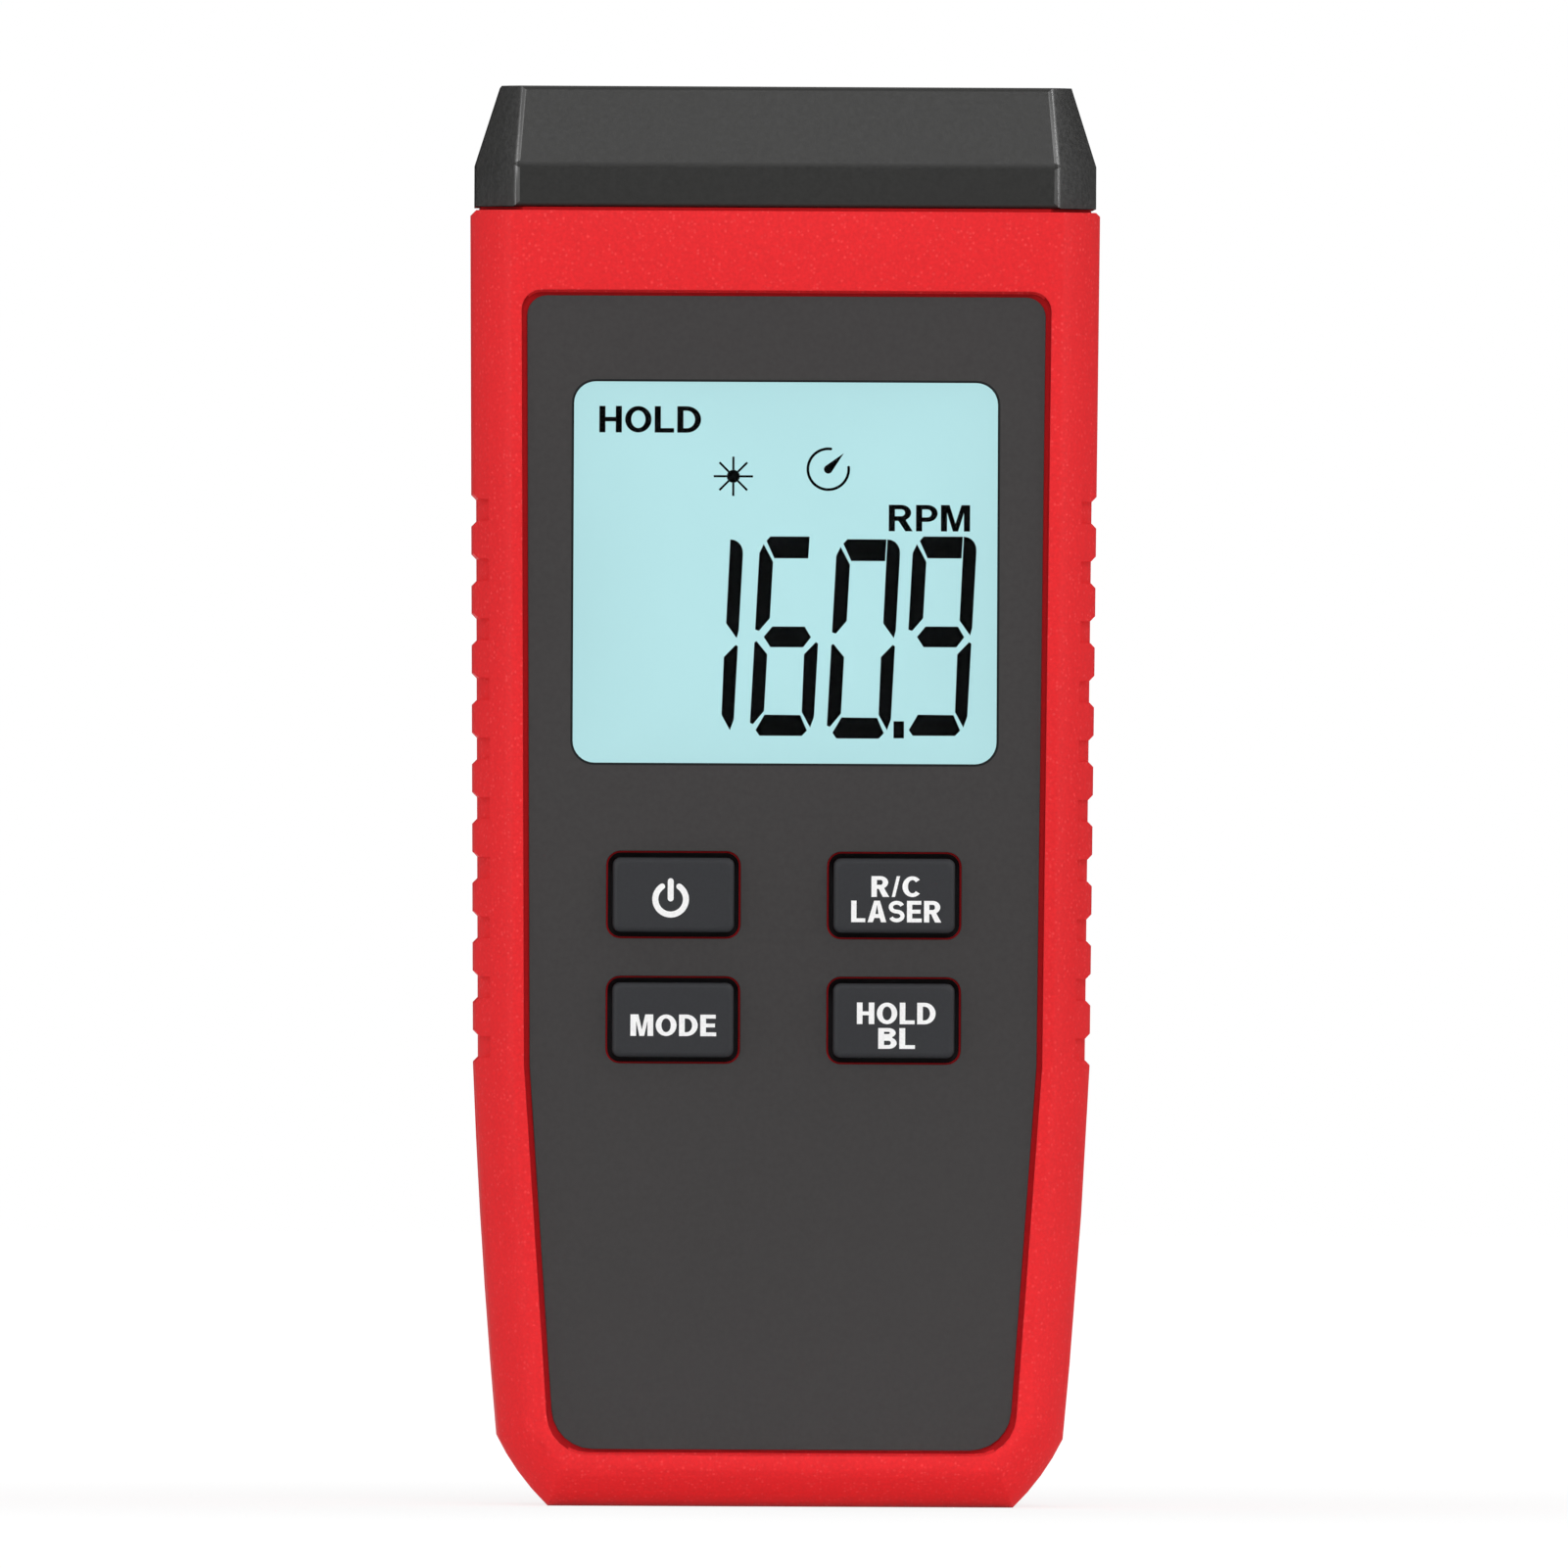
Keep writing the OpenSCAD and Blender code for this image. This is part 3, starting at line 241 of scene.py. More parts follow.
class TachometerHead(bpy.types.PropertyGroup):
    colour: colour_property("Head Colour", "Colour of the dark optical head", srgb(45, 45, 44))
    roughness: share_property("Head Roughness", "Roughness of the head", 0.38)
    edge: length_property("Head Edge", "Rounding of the head's creases", 0.65 * MM)
    shift: length_property("Crease Shift", "How far the head's upright creases are moved out", 0.22 * MM)
    swell: length_property("Corner Swell", "Swell of the corner faces along their middle", 0.2 * MM)


class TachometerFace(bpy.types.PropertyGroup):
    film: colour_property("Film Colour", "Colour of the face overlay", srgb(62, 60, 60))
    glow: colour_property("Display Glow", "Colour of the lit display", srgb(182, 226, 230))
    ink: colour_property("Display Ink", "Colour of the digits and signs", srgb(4, 5, 6))
    # The dark line round the window is painted shade along its cut edge
    outline: length_property("Window Edge Shade", "Width of the dark line painted as shade round the window", 0.2 * MM)
    ink_thickness: length_property("Ink Thickness", "Thickness of the digits and signs", 0.04 * MM)
    lean: angle_property("Digit Lean", "Lean of the digits to the right", 2.9)
    rays: bpy.props.IntProperty(
        name="Burst Rays", description="Rays of the sign for the lit laser", default=8, min=4, max=16)


class TachometerKeys(bpy.types.PropertyGroup):
    colour: colour_property("Key Colour", "Colour of the rubber keys", srgb(50, 51, 54))
    legend: colour_property("Legend Colour", "Colour of the print on the keys", srgb(252, 252, 252))
    legend_thickness: length_property("Legend Thickness", "Thickness of the print on the keys", 0.04 * MM)


class TachometerStage(bpy.types.PropertyGroup):
    distance: length_property("Camera Distance", "Distance of the camera from the middle of the case", 5.0)
    view_height: length_property("View Height", "Height of the picture at the case's outline", 143.85 * MM)
    aim_x: place_property("Aim Across", "Point across that the camera looks at", 0.18 * MM)
    aim_z: place_property("Aim Height", "Height that the camera looks at", 66.18 * MM)
    roll: angle_property("Camera Roll", "Turn of the camera about its view", 0.27)
    swing: angle_property("Camera Swing", "Turn of the camera round the case, to its left", 0.9)
    key_power: power_property("Key Light", "Power of the large light above the camera", 2.4)
    fill_power: power_property("Fill Light", "Power of the wide light in front", 1.8)
    strip_power: power_property("Strip Lights", "Power of the narrow light on each side", 7.5)
    low_power: power_property("Low Light", "Power of the narrow light close to the floor", 0.007)
    side_power: power_property("Side Lights", "Power of the wide light on each side", 0.5)
    ambient: share_property("Ambient", "Level of the light from all round", 0.6)


def cad(name):
    """The object of a CAD node, or an error that names it."""
    if name not in frame["nodes"]:
        raise RuntimeError("The frame has no node " + name)
    return frame["nodes"][name]


def middle(name):
    """The middle of a CAD node's box, in metres."""
    low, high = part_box(name)
    return (Vector(low) + Vector(high)) / 2


def body_of(name):
    """The body that carries a CAD node."""
    for body, nodes in frame["record"]["behaviour"]["bodies"].items():
        if name in nodes:
            return body
    raise RuntimeError("No body carries " + name)


def node(tree, kind, inputs=None, **settings):
    """Adds a node, sets it, links or fills its inputs, and returns its outputs. A kind without the word Node
    is a shader node."""
    made = tree.nodes.new(kind if "Node" in kind else "ShaderNode" + kind)
    for key, value in settings.items():
        setattr(made, key, value)
    for key, value in (inputs or {}).items():
        if isinstance(value, bpy.types.NodeSocket):
            tree.links.new(value, made.inputs[key])
        else:
            made.inputs[key].default_value = value
    return made.outputs


def calc(tree, operation, *values):
    return node(tree, "Math", dict(enumerate(values)), operation=operation)[0]


def spread(tree, value, low, high, to_low, to_high):
    """A value between low and high, mapped to another range and held inside it."""
    return node(tree, "MapRange", {0: value, 1: low, 2: high, 3: to_low, 4: to_high})[0]


def noise_range(tree, noise, to_low, to_high):
    """The usual values of a noise, mapped to another range."""
    return spread(tree, noise, 0.3, 0.7, to_low, to_high)


def surface_point(tree):
    return node(tree, "TexCoord")["Object"]


def node_group(name, inputs, outputs, kind="ShaderNodeTree"):
    """A node group with named sockets. Returns the tree and the sockets at both of its ends."""
    tree = bpy.data.node_groups.new(name, kind)
    for side, sockets in (("INPUT", inputs), ("OUTPUT", outputs)):
        for label, value in sockets:
            tree.interface.new_socket(label, in_out=side, socket_type="NodeSocket" + value)
    return tree, tree.nodes.new("NodeGroupInput").outputs, tree.nodes.new("NodeGroupOutput").inputs


def put_out(tree, result, values):
    """Links values to the named outputs of a group, and returns the group."""
    for label, value in values.items():
        tree.links.new(value, result[label])
    return tree


SURFACE = (("Base Color", "Color"), ("Roughness", "Float"), ("Height", "Float"))


def moulded_surface():
    """Fine moulded grain with sparse light flecks and a slow drift of tone."""
    tree, given, result = node_group(
        "moulded_surface",
        (("Colour", "Color"), ("Grain", "Float"), ("Fleck", "Float"), ("Roughness", "Float")), SURFACE)
    point = surface_point(tree)
    grain = node(tree, "TexNoise", {"Vector": point, "Scale": given["Grain"], "Detail": 3.0})[0]
    drift = node(tree, "TexNoise", {"Vector": point, "Scale": 28.0, "Detail": 1.0})[0]
    cells = node(tree, "TexVoronoi", {"Vector": point, "Scale": given["Grain"]})
    picked = node(tree, "SeparateColor", {0: cells["Color"]})[0]
    chosen = spread(tree, picked, 0.78, 0.98, 0.0, 1.0)
    fleck = calc(tree, "MULTIPLY", chosen, spread(tree, cells["Distance"], 0.0, 0.7, 1.0, 0.0))
    fleck = calc(tree, "MULTIPLY", fleck, given["Fleck"])
    tone = calc(tree, "ADD", noise_range(tree, grain, 0.94, 1.05), noise_range(tree, drift, -0.03, 0.03))
    tone = calc(tree, "ADD", tone, fleck)
    calm = calc(tree, "SUBTRACT", 1.0, calc(tree, "MULTIPLY", fleck, 0.4))
    colour = node(tree, "HueSaturation", {"Color": given["Colour"], "Value": tone, "Saturation": calm})
    uneven = noise_range(tree, grain, -0.05, 0.05)
    rough = calc(tree, "ADD", given["Roughness"], uneven)
    return put_out(tree, result, {"Base Color": colour["Color"], "Roughness": rough, "Height": grain})


def drawn_metal():
    """Metal with fine marks drawn along the case's height."""
    tree, given, result = node_group(
        "drawn_metal", (("Colour", "Color"), ("Marks", "Float"), ("Roughness", "Float")), SURFACE)
    along = node(tree, "Mapping", {"Vector": surface_point(tree), "Scale": (1.0, 1.0, 0.08)})[0]
    marks = node(tree, "TexNoise", {"Vector": along, "Scale": given["Marks"], "Detail": 4.0})[0]
    tone = noise_range(tree, marks, 0.86, 1.08)
    colour = node(tree, "HueSaturation", {"Color": given["Colour"], "Value": tone})
    uneven = noise_range(tree, marks, -0.06, 0.1)
    rough = calc(tree, "ADD", given["Roughness"], uneven)
    return put_out(tree, result, {"Base Color": colour["Color"], "Roughness": rough, "Height": marks})


def polished_surface():
    """A clear or polished surface with a trace of unevenness."""
    tree, given, result = node_group(
        "polished_surface", (("Roughness", "Float"), ("Scale", "Float")), (("Roughness", "Float"),))
    haze = node(tree, "TexNoise", {"Vector": surface_point(tree), "Scale": given["Scale"]})[0]
    uneven = noise_range(tree, haze, 0.7, 1.3)
    return put_out(tree, result, {"Roughness": calc(tree, "MULTIPLY", given["Roughness"], uneven)})


def lit_panel():
    """The display's glow, with painted shade that makes it a little weaker towards the edges of the window.
    """
    tree, given, result = node_group(
        "lit_panel", (("Glow", "Color"), ("Middle", "Vector"), ("Reach", "Float")),
        (("Emission Color", "Color"),))
    point = surface_point(tree)
    away = node(tree, "VectorMath", {0: point, 1: given["Middle"]}, operation="SUBTRACT")[0]
    parts = node(tree, "SeparateXYZ", {0: away})
    across = calc(tree, "DIVIDE", calc(tree, "ABSOLUTE", parts["X"]), given["Reach"])
    up = calc(tree, "DIVIDE", calc(tree, "ABSOLUTE", parts["Z"]), given["Reach"])
    edge = calc(tree, "MAXIMUM", across, up)
    cloud = node(tree, "TexNoise", {"Vector": point, "Scale": 60.0, "Detail": 1.0})[0]
    # Painted shade: the glow falls off towards the window's edges
    fall = spread(tree, edge, 0.55, 1.0, 0.97, 0.94)
    level = calc(tree, "ADD", fall, noise_range(tree, cloud, -0.015, 0.015))
    glow = node(tree, "HueSaturation", {"Color": given["Glow"], "Value": level})
    return put_out(tree, result, {"Emission Color": glow["Color"]})


def printed_jacket():
    """A cell's printed sleeve: a dark field, a pale band near the plus end and bare metal at the ends."""
    tree, given, result = node_group(
        "printed_jacket",
        (("Field", "Color"), ("Band", "Color"), ("Plus", "Float"), ("Minus", "Float")),
        (("Base Color", "Color"), ("Metallic", "Float"), ("Roughness", "Float")))
    point = surface_point(tree)
    height = node(tree, "SeparateXYZ", {0: point})["Z"]
    along = node(tree, "MapRange", {0: height, 1: given["Minus"], 2: given["Plus"]})[0]
    banded = calc(tree, "GREATER_THAN", along, BAND_START)
    low_end = calc(tree, "LESS_THAN", along, MINUS_RIM)
    high_end = calc(tree, "GREATER_THAN", along, PLUS_RIM)
    bare = calc(tree, "MAXIMUM", low_end, high_end)
    smear = node(tree, "TexNoise", {"Vector": point, "Scale": 400.0})[0]
    sleeve = node(tree, "Mix", {0: banded, 6: given["Field"], 7: given["Band"]}, data_type="RGBA")[2]
    whole = node(tree, "Mix", {0: bare, 6: sleeve, 7: (0.62, 0.62, 0.63, 1.0)}, data_type="RGBA")[2]
    shine = calc(tree, "MAXIMUM", bare, calc(tree, "MULTIPLY", banded, 0.8))
    rough = noise_range(tree, smear, 0.26, 0.36)
    return put_out(tree, result, {"Base Color": whole, "Metallic": shine, "Roughness": rough})


def board_surface():
    """Green solder mask with fine copper tracks under it."""
    tree, given, result = node_group(
        "board_surface", (("Mask", "Color"), ("Track", "Color"), ("Scale", "Float")), SURFACE)
    tracks = node(tree, "TexBrick", {
        "Vector": surface_point(tree), "Scale": given["Scale"], "Mortar Size": 0.03})["Fac"]
    colour = node(tree, "Mix", {0: tracks, 6: given["Mask"], 7: given["Track"]}, data_type="RGBA")[2]
    rough = spread(tree, tracks, 0.0, 1.0, 0.35, 0.28)
    return put_out(tree, result, {"Base Color": colour, "Roughness": rough, "Height": tracks})


def group(make):
    """The node group that a function makes, made once."""
    return bpy.data.node_groups.get(make.__name__) or make()


def material(name, make, values, relief=0.0, **fixed):
    """A material whose varying looks come from a node group; fixed values sit on the shader itself."""
    name = "dressed_" + name
    known = bpy.data.materials.get(name)
    if known:
        return known
    made = bpy.data.materials.new(name)
    made.use_nodes = True
    tree = made.node_tree
    shader = tree.nodes["Principled BSDF"]
    looks = tree.nodes.new("ShaderNodeGroup")
    looks.node_tree = group(make)
    for socket, value in values.items():
        if looks.inputs[socket].type == "RGBA":
            value = (*value[:3], 1.0)
        looks.inputs[socket].default_value = value
    for socket, value in fixed.items():
        shader.inputs[socket].default_value = value
    for out in looks.outputs:
        if out.name != "Height":
            tree.links.new(out, shader.inputs[out.name])
        elif relief:
            bump = node(tree, "Bump", {"Strength": 0.6, "Distance": relief, "Height": out})
            tree.links.new(bump["Normal"], shader.inputs["Normal"])
    return made


def moulded(name, colour, roughness, grain=0.3 * MM, fleck=0.0, relief=0.01 * MM, specular=0.35):
    """A moulded, printed or rubber surface."""
    return material(
        name, moulded_surface, {"Colour": colour, "Grain": 1 / grain, "Fleck": fleck, "Roughness": roughness},
        relief, **{"Specular IOR Level": specular})


def metal(name, colour, roughness):
    """A drawn, turned or plated metal."""
    return material(
        name, drawn_metal, {"Colour": colour, "Marks": 9000.0, "Roughness": roughness},
        0.004 * MM, Metallic=1.0)


def clear(name, tint, roughness, mirror=1.0):
    """Clear plastic or glass, with a share of its usual mirroring."""
    return material(
        name, polished_surface, {"Roughness": roughness, "Scale": 90.0},
        **{"Base Color": (*tint, 1.0), "Transmission Weight": 1.0, "IOR": 1.49,
           "Specular Tint": (mirror, mirror, mirror, 1.0)})


def case_red():
    looks = bpy.context.scene.tachometer_case
    return moulded(
        "case_red", looks.colour, looks.roughness, looks.grain, fleck=0.11, relief=CASE_RELIEF, specular=0.04)


def key_rubber():
    looks = bpy.context.scene.tachometer_keys
    return moulded("key_rubber", looks.colour, 0.62, 0.2 * MM, relief=0.006 * MM, specular=0.16)


def place(name, mesh, look, body):
    """Puts a mesh into the scene as a piece that rides on a body."""
    piece = bpy.data.objects.new(name, mesh)
    bpy.context.scene.collection.objects.link(piece)
    if look:
        mesh.materials.append(look)
    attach(piece, body)
    return piece


def to_mesh(name, shape, smooth=False):
    """A mesh of a form, with its faces turned outwards."""
    bmesh.ops.recalc_face_normals(shape, faces=shape.faces)
    mesh = bpy.data.meshes.new(name)
    shape.to_mesh(mesh)
    shape.free()
    for face in mesh.polygons:
        face.use_smooth = smooth
    return mesh


def outer_edges(shape, crease):
    """Sharp edges on the outside of a form that no point of it stands out beyond, and those of its front
    plane. Edges that run from front to back stay crisp."""
    points = [v.co.copy() for v in shape.verts]
    front = min(p.y for p in points) + IN_PLANE
    found = []
    for edge in shape.edges:
        if len(edge.link_faces) != 2 or edge.calc_face_angle() < math.radians(crease):
            continue
        run = (edge.verts[1].co - edge.verts[0].co).normalized()
        if abs(run.y) > RUNS_BACK:
            continue
        out = (edge.link_faces[0].normal + edge.link_faces[1].normal).normalized()
        level = out.dot(edge.verts[0].co) + IN_PLANE
        if max(v.co.y for v in edge.verts) < front or all(out.dot(p) < level for p in points):
            found.append(edge)
    return found


def round_edges(shape, edges, width, steps):
    """Rounds those edges that have room for it at both of their ends."""
    roomy = [
        edge for edge in edges
        if all(near.calc_length() > ROOM * width for end in edge.verts for near in end.link_edges)]
    bmesh.ops.bevel(
        shape, geom=roomy, offset=width, offset_type="WIDTH", segments=steps, profile=0.5, affect="EDGES",
        clamp_overlap=False, material=1, loop_slide=True)


def corner_faces(shape, area):
    """The larger faces on the outside of a form's upright corners."""
    return [
        face for face in shape.faces
        if LEAST_SLANT < abs(face.normal.x) < MOST_SLANT and abs(face.normal.y) > LEAST_SLANT
        and face.calc_area() > area and face.normal.x * face.calc_center_median().x > 0]


def widen_front(shape, shift):
    """Moves the upright creases beside the corner faces outwards."""
    inner = {
        v for face in corner_faces(shape, WHOLE_CORNER) for v in face.verts
        if abs(v.co.x) < abs(face.calc_center_median().x)}
    for v in inner:
        v.co.x += math.copysign(shift, v.co.x)


def swell_corners(shape, swell):
    """Gives the corner faces a slight swell along their middle, and marks them as roundings."""
    found = corner_faces(shape, ROUNDED_CORNER)
    for side, end in ((1, 1), (1, -1), (-1, 1), (-1, -1)):
        corner = [face for face in found if face.normal.x * side > 0 and face.normal.y * end > 0]
        if not corner:
            continue
        for face in corner:
            face.material_index = 1
        total = sum((face.normal for face in corner), Vector())
        out = Vector((total.x, total.y, 0.0)).normalized()
        centre = sum((face.calc_center_median() for face in corner), Vector()) / len(corner)
        parts = {part for face in corner for part in (face, *face.edges, *face.verts)}
        cut = bmesh.ops.bisect_plane(
            shape, geom=list(parts), plane_co=centre, plane_no=(-out.y, out.x, 0.0))
        for v in cut["geom_cut"]:
            if isinstance(v, bmesh.types.BMVert):
                v.co += out * swell
        found = [face for face in found if face.is_valid]


def soft_copy(name, look, edge=0.0, steps=3, crease=28.0, upright_look=None, shift=0.0, swell=0.0,
              flat=True):
    """Stands in for a CAD node with the same form, its outer edges rounded and its curves shaded smooth.
    Upright roundings may take a look of their own, beside corner faces that stand out a little. Large faces
    may be kept flat up to their edges."""
    source = cad(name)
    shape = bmesh.new()
    shape.from_mesh(source.data)
    bmesh.ops.transform(shape, matrix=source.matrix_world, verts=shape.verts)
    bmesh.ops.remove_doubles(shape, verts=shape.verts, dist=MERGED)
    bmesh.ops.dissolve_limit(
        shape, angle_limit=EVEN, verts=shape.verts, edges=shape.edges, use_dissolve_boundaries=False)
    if shift:
        widen_front(shape, shift)
    if edge:
        round_edges(shape, outer_edges(shape, crease), edge, steps)
        if swell:
            swell_corners(shape, swell)
        for face in shape.faces:
            heights = [v.co.z for v in face.verts]
            upright = max(heights) - min(heights) > UPRIGHT_RISE
            face.material_index = 1 if upright_look and upright and face.material_index else 0
    mesh = to_mesh(name + "_dressed", shape, True)
    if "custom_normal" in mesh.attributes:
        mesh.attributes.remove(mesh.attributes["custom_normal"])
    piece = place(name + "_dressed", mesh, look, body_of(name))
    if upright_look:
        mesh.materials.append(upright_look)
    mesh.set_sharp_from_angle(angle=SHARP)
    if flat:
        even = piece.modifiers.new("even_shading", "WEIGHTED_NORMAL")
        even.keep_sharp = True
        even.weight = FACE_WEIGHT
    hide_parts(name)
    return piece


def paint(look, *names):
    """Gives CAD nodes that keep their own form a better material."""
    for name in names:
        mesh = cad(name).data
        mesh.materials.clear()
        mesh.materials.append(look)


def prism(shape, outline, near, far):
    """A flat figure of (x, z) points in metres made solid between two depths."""
    front = [shape.verts.new((x, near, z)) for x, z in outline]
    back = [shape.verts.new((x, far, z)) for x, z in outline]
    shape.faces.new(front)
    shape.faces.new(reversed(back))
    for i in range(len(outline)):
        shape.faces.new((front[i - 1], front[i], back[i], back[i - 1]))


def grown(outline, by):
    """An anticlockwise or clockwise outline without hollows, with all its sides moved out."""
    count = len(outline)
    points = [Vector(p) for p in outline]
    turn = sum(points[i - 1].cross(points[i]) for i in range(count))
    sides = [(points[(i + 1) % count] - points[i]).normalized() for i in range(count)]
    outs = [Vector((s.y, -s.x)) * (by if turn > 0 else -by) for s in sides]
    return [
        tuple(points[i] + (outs[i - 1] + outs[i]) / (1 + sides[i - 1].dot(sides[i]))) for i in range(count)]


def turned(angle, radius, centre=(0.0, 0.0)):
    """The point at an angle and a distance from a centre."""
    return centre[0] + radius * math.cos(angle), centre[1] + radius * math.sin(angle)


def arc_stroke(shape, centre, radius, width, start, end, near, far, steps=40):
    """A stroke with round ends along an arc, in degrees, anticlockwise from the right."""
    a, b = math.radians(start), math.radians(end)
    sweep = [a + (b - a) * i / steps for i in range(steps + 1)]
    half = width / 2
    caps = [math.pi * i / 6 for i in range(1, 6)]
    outline = [turned(t, radius + half, centre) for t in sweep]
    outline += [turned(b + t, half, turned(b, radius, centre)) for t in caps]
    outline += [turned(t, radius - half, centre) for t in reversed(sweep)]
    outline += [turned(a + math.pi + t, half, turned(a, radius, centre)) for t in caps]
    prism(shape, outline, near, far)


def bar_stroke(shape, x, low, high, width, near, far):
    """An upright stroke with round ends."""
    half = width / 2
    top = [turned(math.pi * i / 8, half, (x, high - half)) for i in range(9)]
    foot = [turned(math.pi + math.pi * i / 8, half, (x, low + half)) for i in range(9)]
    prism(shape, top + foot, near, far)


def rounded_outline(centre, half_x, half_z, radius, steps=8):
    """The outline of an upright rectangle with round corners."""
    corners = ((1, 1, 0), (-1, 1, 90), (-1, -1, 180), (1, -1, 270))
    return [
        turned(math.radians(start + 90 * i / steps), radius, (
            centre[0] + x * (half_x - radius), centre[1] + z * (half_z - radius)))
        for x, z, start in corners for i in range(steps + 1)]


def flat_ring(shape, outer, inner, near, far):
    """A flat ring between two outlines of as many points, made solid between two depths."""
    loops = [[shape.verts.new((x, y, z)) for x, z in line] for line, y in (
        (outer, near), (inner, near), (inner, far), (outer, far))]
    for i in range(len(outer)):
        for a, b in zip(loops, loops[1:] + loops[:1]):
            shape.faces.new((a[i - 1], a[i], b[i], b[i - 1]))


def ribbon(path, width):
    """The outline of a stroke of some width along a path."""
    left, right = [], []
    for i, (x, y) in enumerate(path):
        before, after = path[max(i - 1, 0)], path[min(i + 1, len(path) - 1)]
        side = Vector((before[1] - after[1], after[0] - before[0])).normalized() * width / 2
        left.append((x + side.x, y + side.y))
        right.append((x - side.x, y - side.y))
    return left + right[::-1]


def block_letter(letter, stem, bar):
    """The width and the closed loops of a plain block letter one unit high."""
    def counter(x, low, high, right):
        rise = (high - low) / 2
        bow = oval(x, low + rise, right - x - stem, rise - bar, -90, 90)
        return [(stem, low + bar), *bow, (stem, high - bar)]

    low_mid, high_mid = 0.5 - bar / 2, 0.5 + bar / 2
    curl = (1 - bar) / 4
    slant = 0.06
    return {
        "A": (0.80, [
            [(0, 0), (stem, 0), (stem + slant, 0.2), (0.8 - stem - slant, 0.2), (0.8 - stem, 0), (0.8, 0),
             (0.4 + stem * 0.55, 1), (0.4 - stem * 0.55, 1)],
            [(stem + slant + 0.05, 0.2 + bar), (0.75 - stem - slant, 0.2 + bar), (0.4, 0.8)]]),
        "B": (0.71, [
            [(0, 0), *oval(0.4, 0.275, 0.31, 0.275, -90, 62), *oval(0.38, 0.765, 0.29, 0.235, -58, 90),
             (0, 1)],
            counter(0.4, 0.0, 0.55 + bar * 0.1, 0.71), counter(0.38, 0.55 - bar * 0.1, 1.0, 0.67)]),
        "C": (0.78, [
            oval(0.41, 0.5, 0.41, 0.5, 42, 318, 28) + oval(0.41, 0.5, 0.41 - stem, 0.5 - bar, 318, 42, 28)]),
        "D": (0.74, [[(0, 0), *oval(0.3, 0.5, 0.44, 0.5, -90, 90), (0, 1)], counter(0.3, 0.0, 1.0, 0.74)]),
        "E": (0.63, [
            [(0, 0), (0.63, 0), (0.63, bar), (stem, bar), (stem, low_mid), (0.58, low_mid), (0.58, high_mid),
             (stem, high_mid), (stem, 1 - bar), (0.61, 1 - bar), (0.61, 1), (0, 1)]]),
        "H": (0.7, [
            [(0, 0), (stem, 0), (stem, low_mid), (0.7 - stem, low_mid), (0.7 - stem, 0), (0.7, 0), (0.7, 1),
             (0.7 - stem, 1), (0.7 - stem, high_mid), (stem, high_mid), (stem, 1), (0, 1)]]),
        "L": (0.6, [[(0, 0), (0.6, 0), (0.6, bar), (stem, bar), (stem, 1), (0, 1)]]),
        "M": (0.9, [
            [(0, 0), (stem, 0), (stem, 0.7), (0.45 - stem * 0.42, 0), (0.45 + stem * 0.42, 0),
             (0.9 - stem, 0.7), (0.9 - stem, 0), (0.9, 0), (0.9, 1), (0.9 - stem * 1.4, 1), (0.45, 0.3),
             (stem * 1.4, 1), (0, 1)]]),
        "O": (0.82, [
            oval(0.41, 0.5, 0.41, 0.5, 0, 350, 35), oval(0.41, 0.5, 0.41 - stem, 0.5 - bar, 0, 350, 35)]),
        "P": (0.67, [
            [(0, 0), (stem, 0), (stem, 0.36), *oval(0.35, 0.68, 0.32, 0.32, -90, 90), (0, 1)],
            counter(0.35, 0.36, 1.0, 0.67)]),
        "R": (0.74, [
            [(0, 0), (stem, 0), (stem, 0.39), (0.3, 0.39), (0.74 - stem * 1.2, 0), (0.74, 0), (0.53, 0.41),
             *oval(0.38, 0.7, 0.31, 0.3, -60, 90), (0, 1)],
            counter(0.38, 0.4, 1.0, 0.69)]),
        "S": (0.68, [ribbon(
            oval(0.34, 0.5 + curl, 0.34 - bar / 2, curl, 20, 270)
            + oval(0.34, 0.5 - curl, 0.34 - bar / 2, curl, 90, -160)[1:], bar)]),
        "/": (0.34, [[(0, 0), (stem * 0.6, 0), (0.34, 1), (0.34 - stem * 0.6, 1)]]),
    }[letter]


def add_word(shape, text, width, height, centre, near, far, strokes):
    """A word as solid block letters, fitted to a width and height about a point (x, z)."""
    curve = bpy.data.curves.new("word", "CURVE")
    curve.dimensions = "2D"
    curve.fill_mode = "BOTH"
    curve.extrude = 0.5
    length = 0.0
    for letter in text:
        wide, loops = block_letter(letter, *strokes)
        for loop in loops:
            spline = curve.splines.new("POLY")
            spline.points.add(len(loop) - 1)
            for point, (x, y) in zip(spline.points, loop):
                point.co = (length + x, y, 0.0, 1.0)
            spline.use_cyclic_u = True
        length += wide + LETTER_GAP
    length -= LETTER_GAP
    letters = bpy.data.objects.new("word", curve)
    bpy.context.scene.collection.objects.link(letters)
    mesh = bpy.data.meshes.new_from_object(letters.evaluated_get(bpy.context.evaluated_depsgraph_get()))
    bpy.data.objects.remove(letters)
    bpy.data.curves.remove(curve)
    if not mesh.polygons:
        raise RuntimeError("No letters were made for " + text)
    for v in mesh.vertices:
        x = centre[0] + (v.co.x / length - 0.5) * width
        z = centre[1] + (v.co.y - 0.5) * height
        v.co = (x, near if v.co.z > 0 else far, z)
    shape.from_mesh(mesh)
    bpy.data.meshes.remove(mesh)


